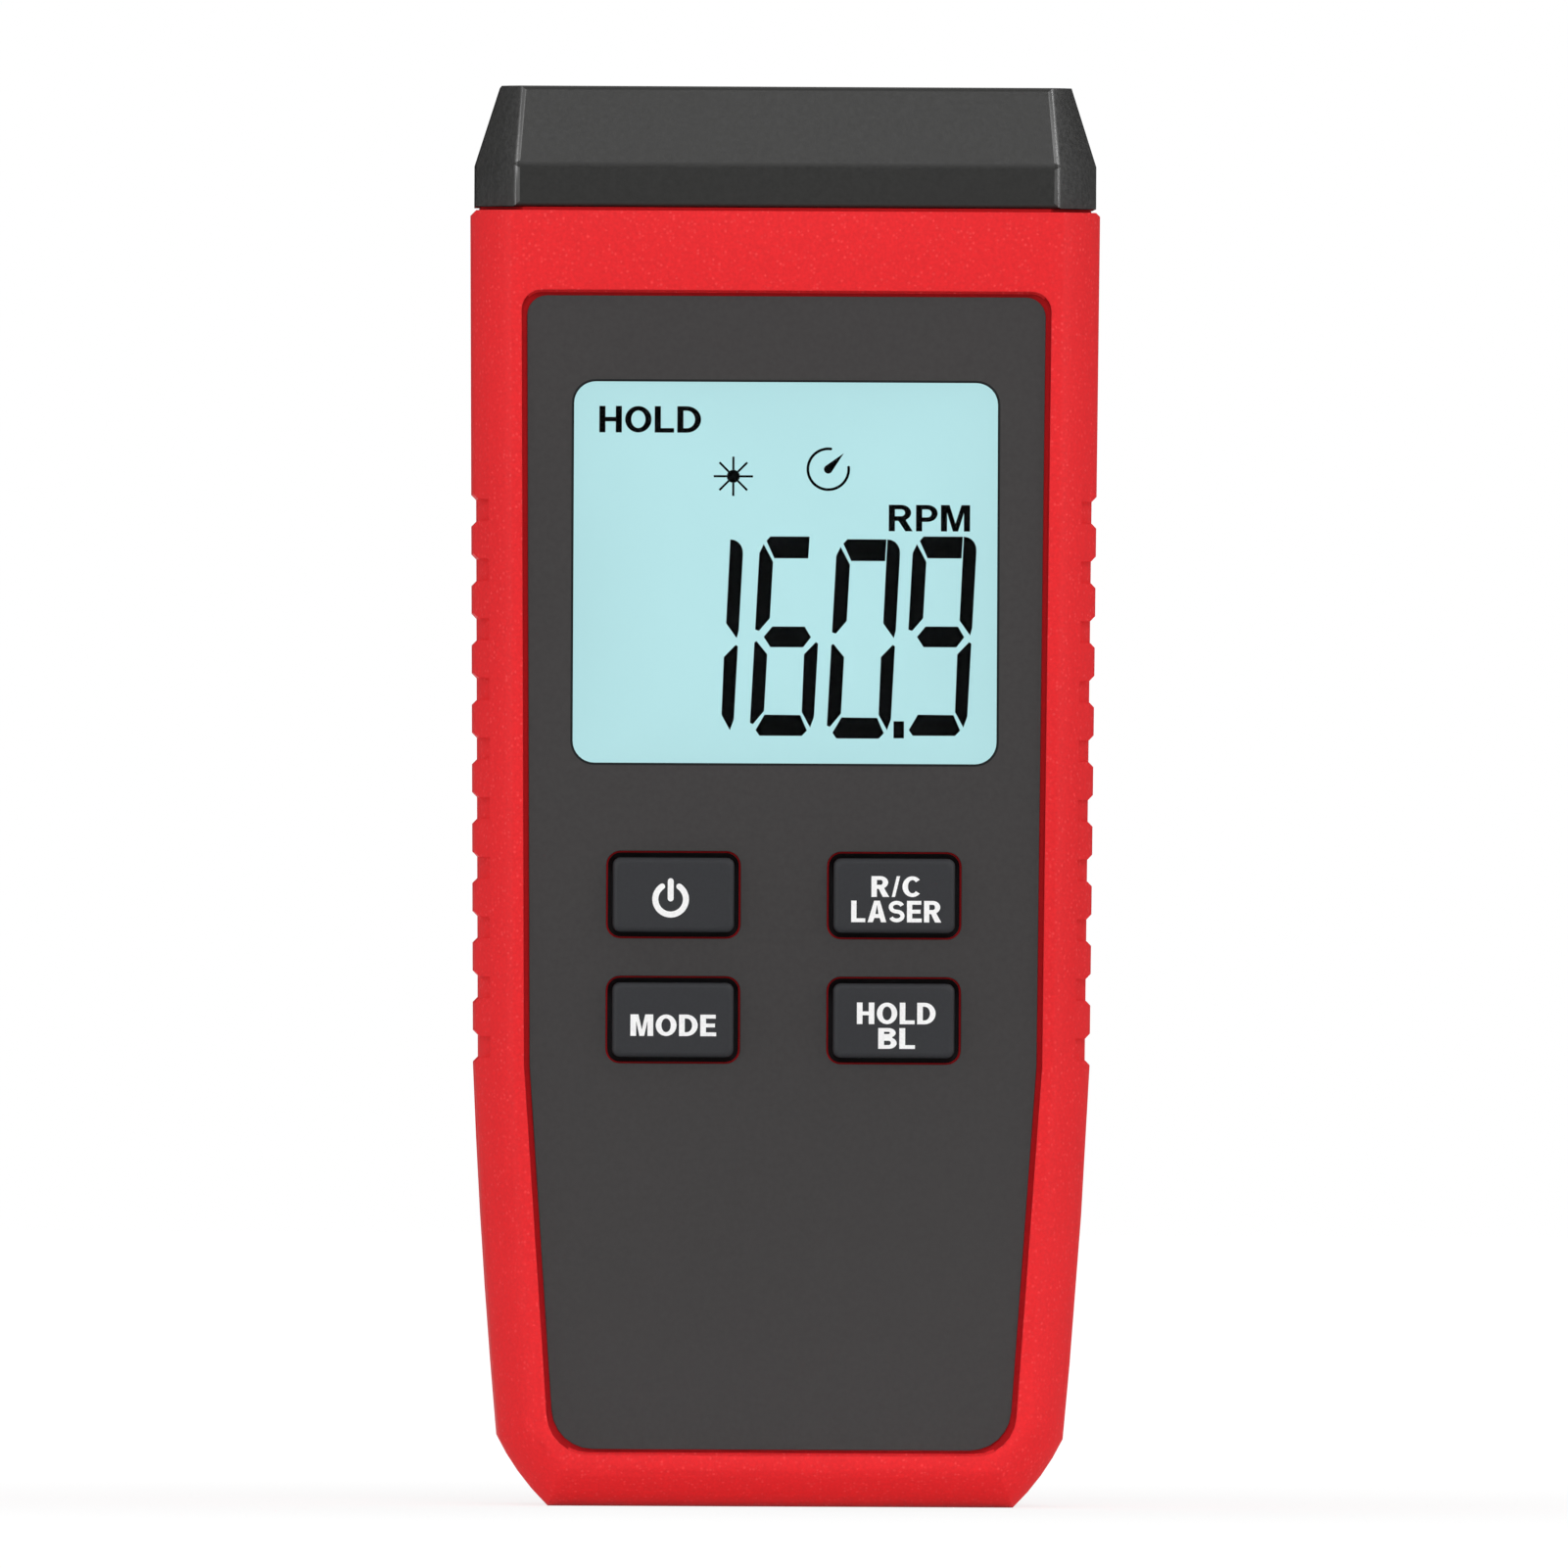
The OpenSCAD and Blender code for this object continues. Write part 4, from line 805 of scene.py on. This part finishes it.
def burst_tree():
    """Geometry nodes: a round hub with rays set evenly about it."""
    tree, given, result = node_group(
        "ray_burst",
        (("Geometry", "Geometry"), ("Rays", "Int"), ("Hub Radius", "Float"), ("Ray Length", "Float"),
         ("Ray Width", "Float"), ("Thickness", "Float"), ("Centre", "Vector"), ("Material", "Material")),
        (("Geometry", "Geometry"),), "GeometryNodeTree")
    reach = calc(tree, "MULTIPLY_ADD", given["Ray Length"], 0.5, given["Hub Radius"])
    circle = node(tree, "GeometryNodeMeshCircle", {"Vertices": given["Rays"], "Radius": reach})[0]
    size = node(tree, "CombineXYZ", {0: given["Ray Length"], 1: given["Ray Width"], 2: given["Thickness"]})[0]
    ray = node(tree, "GeometryNodeMeshCube", {"Size": size})[0]
    spot = node(tree, "GeometryNodeInputPosition")[0]
    outwards = node(tree, "FunctionNodeAlignRotationToVector", {"Vector": spot}, axis="X")[0]
    rays = node(tree, "GeometryNodeInstanceOnPoints", {
        "Points": circle, "Instance": ray, "Rotation": outwards})[0]
    hub = node(tree, "GeometryNodeMeshCylinder", {
        "Vertices": 24, "Radius": given["Hub Radius"], "Depth": given["Thickness"]})[0]
    both = tree.nodes.new("GeometryNodeJoinGeometry")
    for part in (rays, hub):
        tree.links.new(part, both.inputs[0])
    upright = node(tree, "GeometryNodeTransform", {
        "Geometry": both.outputs[0], "Translation": given["Centre"],
        "Rotation": (math.radians(90), 0.0, 0.0)})[0]
    real = node(tree, "GeometryNodeRealizeInstances", {"Geometry": upright})[0]
    painted = node(tree, "GeometryNodeSetMaterial", {"Geometry": real, "Material": given["Material"]})[0]
    return put_out(tree, result, {"Geometry": painted})


def from_nodes(name, tree, values):
    """The plain mesh that a geometry node tree makes with these named inputs."""
    maker = bpy.data.objects.new(name, bpy.data.meshes.new(name))
    bpy.context.scene.collection.objects.link(maker)
    modifier = maker.modifiers.new(name, "NODES")
    modifier.node_group = tree
    for item in tree.interface.items_tree:
        if item.in_out == "INPUT" and item.name in values:
            modifier[item.identifier] = values[item.name]
    mesh = bpy.data.meshes.new_from_object(maker.evaluated_get(bpy.context.evaluated_depsgraph_get()))
    bpy.data.objects.remove(maker)
    if not mesh.polygons:
        raise RuntimeError("The node tree made nothing for " + name)
    return mesh


def beside_key(spot):
    """Whether a point of the face lies on a key or close to it."""
    return any(
        all(low[i] - RIM_REACH < spot[i] < high[i] + RIM_REACH for i in (0, 2))
        for low, high in map(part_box, KEYS))


def shade_hollows(mesh, shade, key_rim, strip, lip):
    """Paints shade as a deeper red into the hollow round the overlay and onto the lip below the head, and the
    deepest painted shade onto the rims of the key wells. Above and below the overlay a strip along the
    hollow's edge keeps the case's lit red."""
    for look in (shade, key_rim):
        mesh.materials.append(look)
    shaded, deepest = len(mesh.materials) - 2, len(mesh.materials) - 1
    low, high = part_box("face_overlay")
    shape = bmesh.new()
    shape.from_mesh(mesh)
    floor = []
    for face in shape.faces:
        depths = [v.co.y - high[1] for v in face.verts]
        flat = min(depths) > -LEVEL and max(depths) < LEVEL
        wall = abs(face.normal.y) < FACES_FRONT and min(depths) > -HOLLOW_WALL and max(depths) < LEVEL
        # The floor and walls of the hollow and the lip take the painted shade
        if flat or wall or face.calc_center_median().z > lip:
            face.material_index = shaded
        if flat:
            floor.append(face)
    if floor:
        rims = bmesh.ops.inset_region(
            shape, faces=floor, thickness=strip, use_boundary=True, use_even_offset=True)["faces"]
        for face in rims:
            spot = face.calc_center_median()
            if beside_key(spot):
                face.material_index = deepest
            elif not low[2] < spot.z < high[2]:
                face.material_index = 0
    shape.to_mesh(mesh)
    shape.free()


class TACHOMETER_OT_case(bpy.types.Operator):
    """Dress the two case halves and the battery door in textured red plastic"""
    bl_idname = "tachometer.build_case"
    bl_label = "Case and Door"

    def execute(self, context):
        looks = context.scene.tachometer_case
        # Darker reds that paint shade into the hollow, onto the lip and round the keys
        shade, key_rim = (
            moulded(name, colour, 0.6, looks.grain, relief=CASE_RELIEF, specular=0.05)
            for name, colour in (("case_painted_shade", looks.shade), ("key_ring_painted_shade", looks.key_rim)))
        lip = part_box("front_case")[1][2] - looks.lip
        for name in ("front_case", "rear_case"):
            shell = soft_copy(name, case_red(), looks.edge, flat=False)
            shade_hollows(shell.data, shade, key_rim, looks.strip, lip)
        soft_copy("battery_door", case_red(), looks.edge)
        return {"FINISHED"}


class TACHOMETER_OT_head(bpy.types.Operator):
    """Dress the dark optical head with softly rounded creases"""
    bl_idname = "tachometer.build_head"
    bl_label = "Optical Head"

    def execute(self, context):
        looks = context.scene.tachometer_head
        dark = moulded(
            "head_dark", looks.colour, looks.roughness, HEAD_GRAIN, relief=0.004 * MM, specular=0.2)
        polished = moulded("head_crease", looks.colour, 0.42, HEAD_GRAIN, relief=0.0, specular=0.9)
        soft_copy(
            "top_cap", dark, looks.edge, steps=5, crease=12.0, upright_look=polished,
            shift=looks.shift, swell=looks.swell)
        return {"FINISHED"}


class TACHOMETER_OT_face(bpy.types.Operator):
    """Dress the overlay film and the clear window"""
    bl_idname = "tachometer.build_face"
    bl_label = "Face Overlay and Window"

    def execute(self, context):
        looks = context.scene.tachometer_face
        film = moulded("overlay_film", looks.film, 0.5, 0.5 * MM, relief=0.002 * MM, specular=0.15)
        soft_copy("face_overlay", film, FILM_EDGE)
        paint(clear("clear_window", (0.98, 1.0, 1.0), 0.02, mirror=0.05), "display_lens")
        low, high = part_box("display_lens")
        centre = middle("display_lens")
        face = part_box("face_overlay")[0][1]
        half_x, half_z = (high[0] - low[0]) / 2 - WINDOW_LAP, (high[2] - low[2]) / 2 - WINDOW_LAP
        # A dark ring on the film round the window: painted shade along the window's cut edge
        shape = bmesh.new()
        outlines = [
            rounded_outline((centre.x, centre.z), half_x + more, half_z + more, WINDOW_RADIUS + more)
            for more in (looks.outline, -LINE_LAP)]
        flat_ring(shape, *outlines, face - LINE_RISE, face + LINE_DEPTH)
        line = moulded("window_edge_shade", srgb(30, 34, 35), 0.5, relief=0.0, specular=0.1)
        place("window_edge_shade", to_mesh("window_edge_shade", shape), line, "case")
        return {"FINISHED"}


class TACHOMETER_OT_display(bpy.types.Operator):
    """Light the display and set its reading, words and signs on the glass"""
    bl_idname = "tachometer.build_display"
    bl_label = "Lit Display"

    def execute(self, context):
        looks = context.scene.tachometer_face
        lens_low, lens_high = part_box("display_lens")
        centre = middle("display_lens")
        glass = material(
            "lit_display", lit_panel,
            {"Glow": looks.glow, "Middle": centre, "Reach": (lens_high[2] - lens_low[2]) / 2},
            **{"Base Color": (0.02, 0.03, 0.03, 1.0), "Emission Strength": 1.0, "Roughness": 0.25,
               "Specular IOR Level": 0.1})
        paint(glass, "lcd_panel")
        ink = moulded("display_ink", looks.ink, 0.6, 0.4 * MM, relief=0.0, specular=0.02)
        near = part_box("lcd_panel")[0][1] - looks.ink_thickness
        far = near + looks.ink_thickness / 2

        def put(*points):
            return [(centre.x + x * MM, centre.z + z * MM) for x, z in points]

        shape = bmesh.new()
        lean = math.tan(looks.lean)
        for digit, x, z in READING:
            for part in DIGITS[digit]:
                bar = grown([(x + px + lean * pz, z + pz) for px, pz in SEGMENTS[part]], BOLD)
                prism(shape, put(*bar), near, far)
        prism(shape, put(*POINT), near, far)
        place("display_reading", to_mesh("display_reading", shape), ink, "case")

        shape = bmesh.new()
        for text, width, height, spot in DISPLAY_WORDS:
            add_word(shape, text, width * MM, height * MM, put(spot)[0], near, far, DISPLAY_STROKES)
        place("display_words", to_mesh("display_words", shape), ink, "case")

        shape = bmesh.new()
        dial = put(DIAL_SPOT)[0]
        arc_stroke(shape, dial, DIAL_RADIUS, DIAL_LINE, DIAL_START, DIAL_END, near, far)
        needle = math.radians(NEEDLE_ANGLE)
        hub = [turned(needle + math.radians(90 + 180 * i / 12), NEEDLE_HUB, dial) for i in range(13)]
        prism(shape, hub + [turned(needle, NEEDLE_LENGTH, dial)], near, far)
        place("display_dial", to_mesh("display_dial", shape), ink, "case")

        x, z = put(BURST_SPOT)[0]
        burst = from_nodes("display_burst", burst_tree(), {
            "Rays": looks.rays, "Hub Radius": BURST_HUB, "Ray Length": RAY_LENGTH, "Ray Width": RAY_WIDTH,
            "Thickness": looks.ink_thickness / 2, "Centre": (x, (near + far) / 2, z), "Material": ink})
        place("display_burst", burst, None, "case")
        return {"FINISHED"}


class TACHOMETER_OT_keys(bpy.types.Operator):
    """Dress the four rubber keys and print their legends"""
    bl_idname = "tachometer.build_keys"
    bl_label = "Keys and Legends"

    def execute(self, context):
        looks = context.scene.tachometer_keys
        print_white = moulded("legend_print", looks.legend, 0.55, 0.2 * MM, relief=0.0, specular=0.2)
        for name in KEYS:
            soft_copy(name, key_rubber())
            centre = middle(name)
            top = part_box(name)[0][1]
            near, far = top - looks.legend_thickness, top + looks.legend_thickness / 4
            shape = bmesh.new()
            if name == "power_key":
                x, z = centre.x + POWER_SPOT[0] * MM, centre.z + POWER_SPOT[1] * MM
                arc_stroke(shape, (x, z), POWER_RADIUS, POWER_LINE, POWER_START, POWER_END, near, far)
                bar_stroke(shape, x, z + POWER_BAR_LOW, z + POWER_BAR_HIGH, POWER_BAR_WIDTH, near, far)
            else:
                for text, width, height, (x, z) in KEY_WORDS[name]:
                    spot = (centre.x + x * MM, centre.z + z * MM)
                    add_word(shape, text, width * MM, height * MM, spot, near, far, KEY_STROKES)
            legend = name.replace("_key", "_legend")
            place(legend, to_mesh(legend, shape), print_white, body_of(name))
        return {"FINISHED"}


class TACHOMETER_OT_optics(bpy.types.Operator):
    """Dress the receiver lens, the laser module and what holds them"""
    bl_idname = "tachometer.build_optics"
    bl_label = "Optics"

    def execute(self, context):
        resin = moulded("black_resin", srgb(30, 30, 31), 0.45, 0.2 * MM)
        paint(clear("lens_glass", (0.95, 0.98, 1.0), 0.01), "receiver_lens", "laser_lens")
        paint(metal("brass", (0.6, 0.42, 0.15), 0.28), "laser_module", "laser_diode")
        paint(resin, "optics_block", "photodiode")
        return {"FINISHED"}


class TACHOMETER_OT_battery(bpy.types.Operator):
    """Dress the cells, their contacts and springs, and the screws"""
    bl_idname = "tachometer.build_battery"
    bl_label = "Battery Bay and Screws"

    def execute(self, context):
        nickel = metal("bright_nickel", (0.7, 0.7, 0.71), 0.22)
        paint(nickel, "plus_contact", "minus_contact", "upper_bridge", "lower_bridge", "battery_springs")
        paint(metal("zinc_screw", (0.45, 0.45, 0.46), 0.35), "case_screws", "door_screw")
        for name in ("cell_left", "cell_middle", "cell_right"):
            low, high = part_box(name)
            minus, plus = (high[2], low[2]) if name == "cell_middle" else (low[2], high[2])
            paint(material(name + "_jacket", printed_jacket, {
                "Field": srgb(38, 44, 54), "Band": srgb(196, 140, 84), "Minus": minus, "Plus": plus}), name)
        return {"FINISHED"}


class TACHOMETER_OT_inside(bpy.types.Operator):
    """Dress the board and the pieces sealed inside the case"""
    bl_idname = "tachometer.build_inside"
    bl_label = "Sealed Inside"

    def execute(self, context):
        paint(material("board_green", board_surface, {
            "Mask": srgb(20, 92, 50), "Track": srgb(44, 124, 66), "Scale": 260.0}, 0.01 * MM), "main_board")
        paint(moulded("chip_resin", srgb(28, 28, 30), 0.5, 0.15 * MM), "controller_chip", "amplifier_chip")
        paint(moulded("white_moulding", srgb(228, 228, 224), 0.45), "lcd_holder", "backlight_leds")
        paint(moulded("light_guide", srgb(236, 244, 246), 0.3), "light_guide")
        paint(moulded("contact_rubber", srgb(60, 56, 58), 0.7, 0.15 * MM), "contact_strips")
        carbon = moulded("carbon_pill", srgb(34, 34, 35), 0.75, 0.12 * MM)
        paint(carbon, *[name.replace("_key", "_pill") for name in KEYS])
        paint(key_rubber(), "keypad_mat")
        paint(metal("crystal_can", (0.68, 0.68, 0.7), 0.25), "timing_crystal")
        return {"FINISHED"}


def soft_light(name, spot, size, power, aim=LIT_POINT, matt=True, glossy=True):
    """An area light at a spot, turned to a point, which may leave out matt surfaces or highlights."""
    lamp = bpy.data.lights.new(name, "AREA")
    lamp.shape = "RECTANGLE"
    lamp.size, lamp.size_y = size
    lamp.energy = power
    light = bpy.data.objects.new(name, lamp)
    light.location = spot
    light.rotation_euler = (Vector(aim) - Vector(spot)).to_track_quat("-Z", "Y").to_euler()
    light.visible_diffuse = matt
    light.visible_glossy = glossy
    bpy.context.scene.collection.objects.link(light)
    return light


def stage_sheet(name, corners, look):
    """A flat sheet with four corners, which belongs to the stage."""
    mesh = bpy.data.meshes.new(name)
    mesh.from_pydata(corners, [], [(0, 1, 2, 3)])
    mesh.materials.append(look)
    sheet = bpy.data.objects.new(name, mesh)
    bpy.context.scene.collection.objects.link(sheet)
    return sheet


def stage_material(name):
    """An empty material of the stage and its node tree."""
    made = bpy.data.materials.new(name)
    made.use_nodes = True
    made.node_tree.nodes.clear()
    return made, made.node_tree


def card_material():
    """The matt black of the dark cards."""
    made, tree = stage_material("black_card")
    matt = node(tree, "BsdfDiffuse", {"Color": (0.01, 0.01, 0.01, 1.0)})[0]
    node(tree, "OutputMaterial", {"Surface": matt})
    return made


def dark_card(name, black, spot, half_width, half_height, side=1):
    """A black card that shows only in reflections, so that dark and glossy faces keep their depth."""
    spot = Vector((side * spot[0], spot[1], spot[2]))
    across = Vector((half_width[0], side * half_width[1], 0.0))
    up = Vector((0.0, 0.0, half_height))
    corners = [spot - across - up, spot + across - up, spot + across + up, spot - across + up]
    card = stage_sheet(name, corners, black)
    card.visible_camera = card.visible_diffuse = card.visible_shadow = card.visible_transmission = False


def seen_directly(tree):
    """1 for rays that see the background straight, in a reflection or through glass."""
    path = node(tree, "LightPath")
    mirrored = calc(tree, "MAXIMUM", path["Is Glossy Ray"], path["Is Transmission Ray"])
    return calc(tree, "MAXIMUM", path["Is Camera Ray"], mirrored)


def floor_material():
    """A pale floor: white away from the object, with the object's shadow kept near it."""
    made, tree = stage_material("pale_floor")
    away = node(tree, "VectorMath", {0: surface_point(tree)}, operation="LENGTH")["Value"]
    share = spread(tree, away, SHADOW_NEAR, SHADOW_FAR, 0.75, 1.0)
    share = calc(tree, "MULTIPLY", share, seen_directly(tree))
    matt = node(tree, "BsdfDiffuse", {"Color": (0.92, 0.92, 0.92, 1.0)})[0]
    white = node(tree, "Emission", {"Color": (1.0, 1.0, 1.0, 1.0), "Strength": 1.06})[0]
    mixed = node(tree, "MixShader", {0: share, 1: matt, 2: white})[0]
    node(tree, "OutputMaterial", {"Surface": mixed})
    return made


def white_surroundings(ambient):
    """A world that looks white and lights the object more weakly than it looks."""
    world = bpy.data.worlds.new("white_surroundings")
    world.use_nodes = True
    tree = world.node_tree
    tree.nodes.clear()
    level = spread(tree, seen_directly(tree), 0.0, 1.0, ambient, 1.0)
    sky = node(tree, "Background", {"Color": (1.0, 1.0, 1.0, 1.0), "Strength": level})[0]
    node(tree, "OutputWorld", {"Surface": sky})
    return world


def front_camera(stage):
    """A camera far in front of the case, swung a little to its left and rolled slightly."""
    lens = bpy.data.cameras.new("front_camera")
    lens.lens = lens.sensor_width * stage.distance / stage.view_height
    lens.clip_start = 0.05
    lens.clip_end = 30.0
    camera = bpy.data.objects.new("front_camera", lens)
    swing = Matrix.Rotation(-stage.swing, 4, "Z")
    aim = Vector((stage.aim_x, 0.0, stage.aim_z))
    camera.location = aim + swing @ Vector((0.0, -stage.distance, 0.0))
    facing = swing @ Matrix.Rotation(math.radians(90), 4, "X") @ Matrix.Rotation(stage.roll, 4, "Z")
    camera.rotation_euler = facing.to_euler()
    bpy.context.scene.collection.objects.link(camera)
    return camera


class TACHOMETER_OT_stage(bpy.types.Operator):
    """Set the floor, the soft lights, the white surroundings and the camera"""
    bl_idname = "tachometer.build_stage"
    bl_label = "Stage, Lights and Camera"

    def execute(self, context):
        scene = context.scene
        stage = scene.tachometer_stage
        ends = ((-1, -1), (1, -1), (1, 1), (-1, 1))
        stage_sheet("pale_floor", [(x * FLOOR_HALF, y * FLOOR_HALF, 0.0) for x, y in ends], floor_material())

        soft_light("key_light", *KEY_LIGHT, stage.key_power)
        soft_light("fill_light", *FILL_LIGHT, stage.fill_power)
        low_light = soft_light("low_light", *LOW_LIGHT, stage.low_power, aim=(0.0, 0.0, 0.0), glossy=False)
        low_light.data.spread = LOW_SPREAD
        for spot, size, share in STRIP_LIGHTS:
            soft_light("strip_light", spot, size, share * stage.strip_power, matt=False)
        black = card_material()
        for side in (-1, 1):
            (x, y, z), size = SIDE_LIGHT
            soft_light("side_light", (side * x, y, z), size, stage.side_power, glossy=False)
            for name, card in SIDE_CARDS.items():
                dark_card(name, black, *card, side)
        for name, card in END_CARDS.items():
            dark_card(name, black, *card)

        scene.world = white_surroundings(stage.ambient)
        scene.camera = front_camera(stage)
        scene.view_settings.view_transform = "Standard"
        return {"FINISHED"}


SETTINGS = (
    ("tachometer_case", TachometerCase), ("tachometer_head", TachometerHead),
    ("tachometer_face", TachometerFace), ("tachometer_keys", TachometerKeys),
    ("tachometer_stage", TachometerStage),
)
OPERATORS = (
    TACHOMETER_OT_case, TACHOMETER_OT_head, TACHOMETER_OT_face, TACHOMETER_OT_display, TACHOMETER_OT_keys,
    TACHOMETER_OT_optics, TACHOMETER_OT_battery, TACHOMETER_OT_inside, TACHOMETER_OT_stage,
)


class TACHOMETER_PT_sidebar(bpy.types.Panel):
    """Sizes, colours and building steps of the tachometer"""
    bl_idname = "TACHOMETER_PT_sidebar"
    bl_label = "Tachometer"
    bl_space_type = "VIEW_3D"
    bl_region_type = "UI"
    bl_category = "Tachometer"

    def draw(self, context):
        for key, kind in SETTINGS:
            box = self.layout.box()
            for name in kind.__annotations__:
                box.prop(getattr(context.scene, key), name)
        for kind in OPERATORS:
            self.layout.operator(kind.bl_idname)


def register():
    for key, kind in SETTINGS:
        bpy.utils.register_class(kind)
        setattr(bpy.types.Scene, key, bpy.props.PointerProperty(type=kind))
    for kind in (*OPERATORS, TACHOMETER_PT_sidebar):
        bpy.utils.register_class(kind)


def unregister():
    for kind in reversed((*OPERATORS, TACHOMETER_PT_sidebar)):
        bpy.utils.unregister_class(kind)
    for key, kind in reversed(SETTINGS):
        delattr(bpy.types.Scene, key)
        bpy.utils.unregister_class(kind)


def main():
    register()
    bpy.ops.tachometer.build_case()
    bpy.ops.tachometer.build_head()
    bpy.ops.tachometer.build_face()
    bpy.ops.tachometer.build_display()
    bpy.ops.tachometer.build_keys()
    bpy.ops.tachometer.build_optics()
    bpy.ops.tachometer.build_battery()
    bpy.ops.tachometer.build_inside()
    bpy.ops.tachometer.build_stage()


if __name__ == "__main__":
    main()
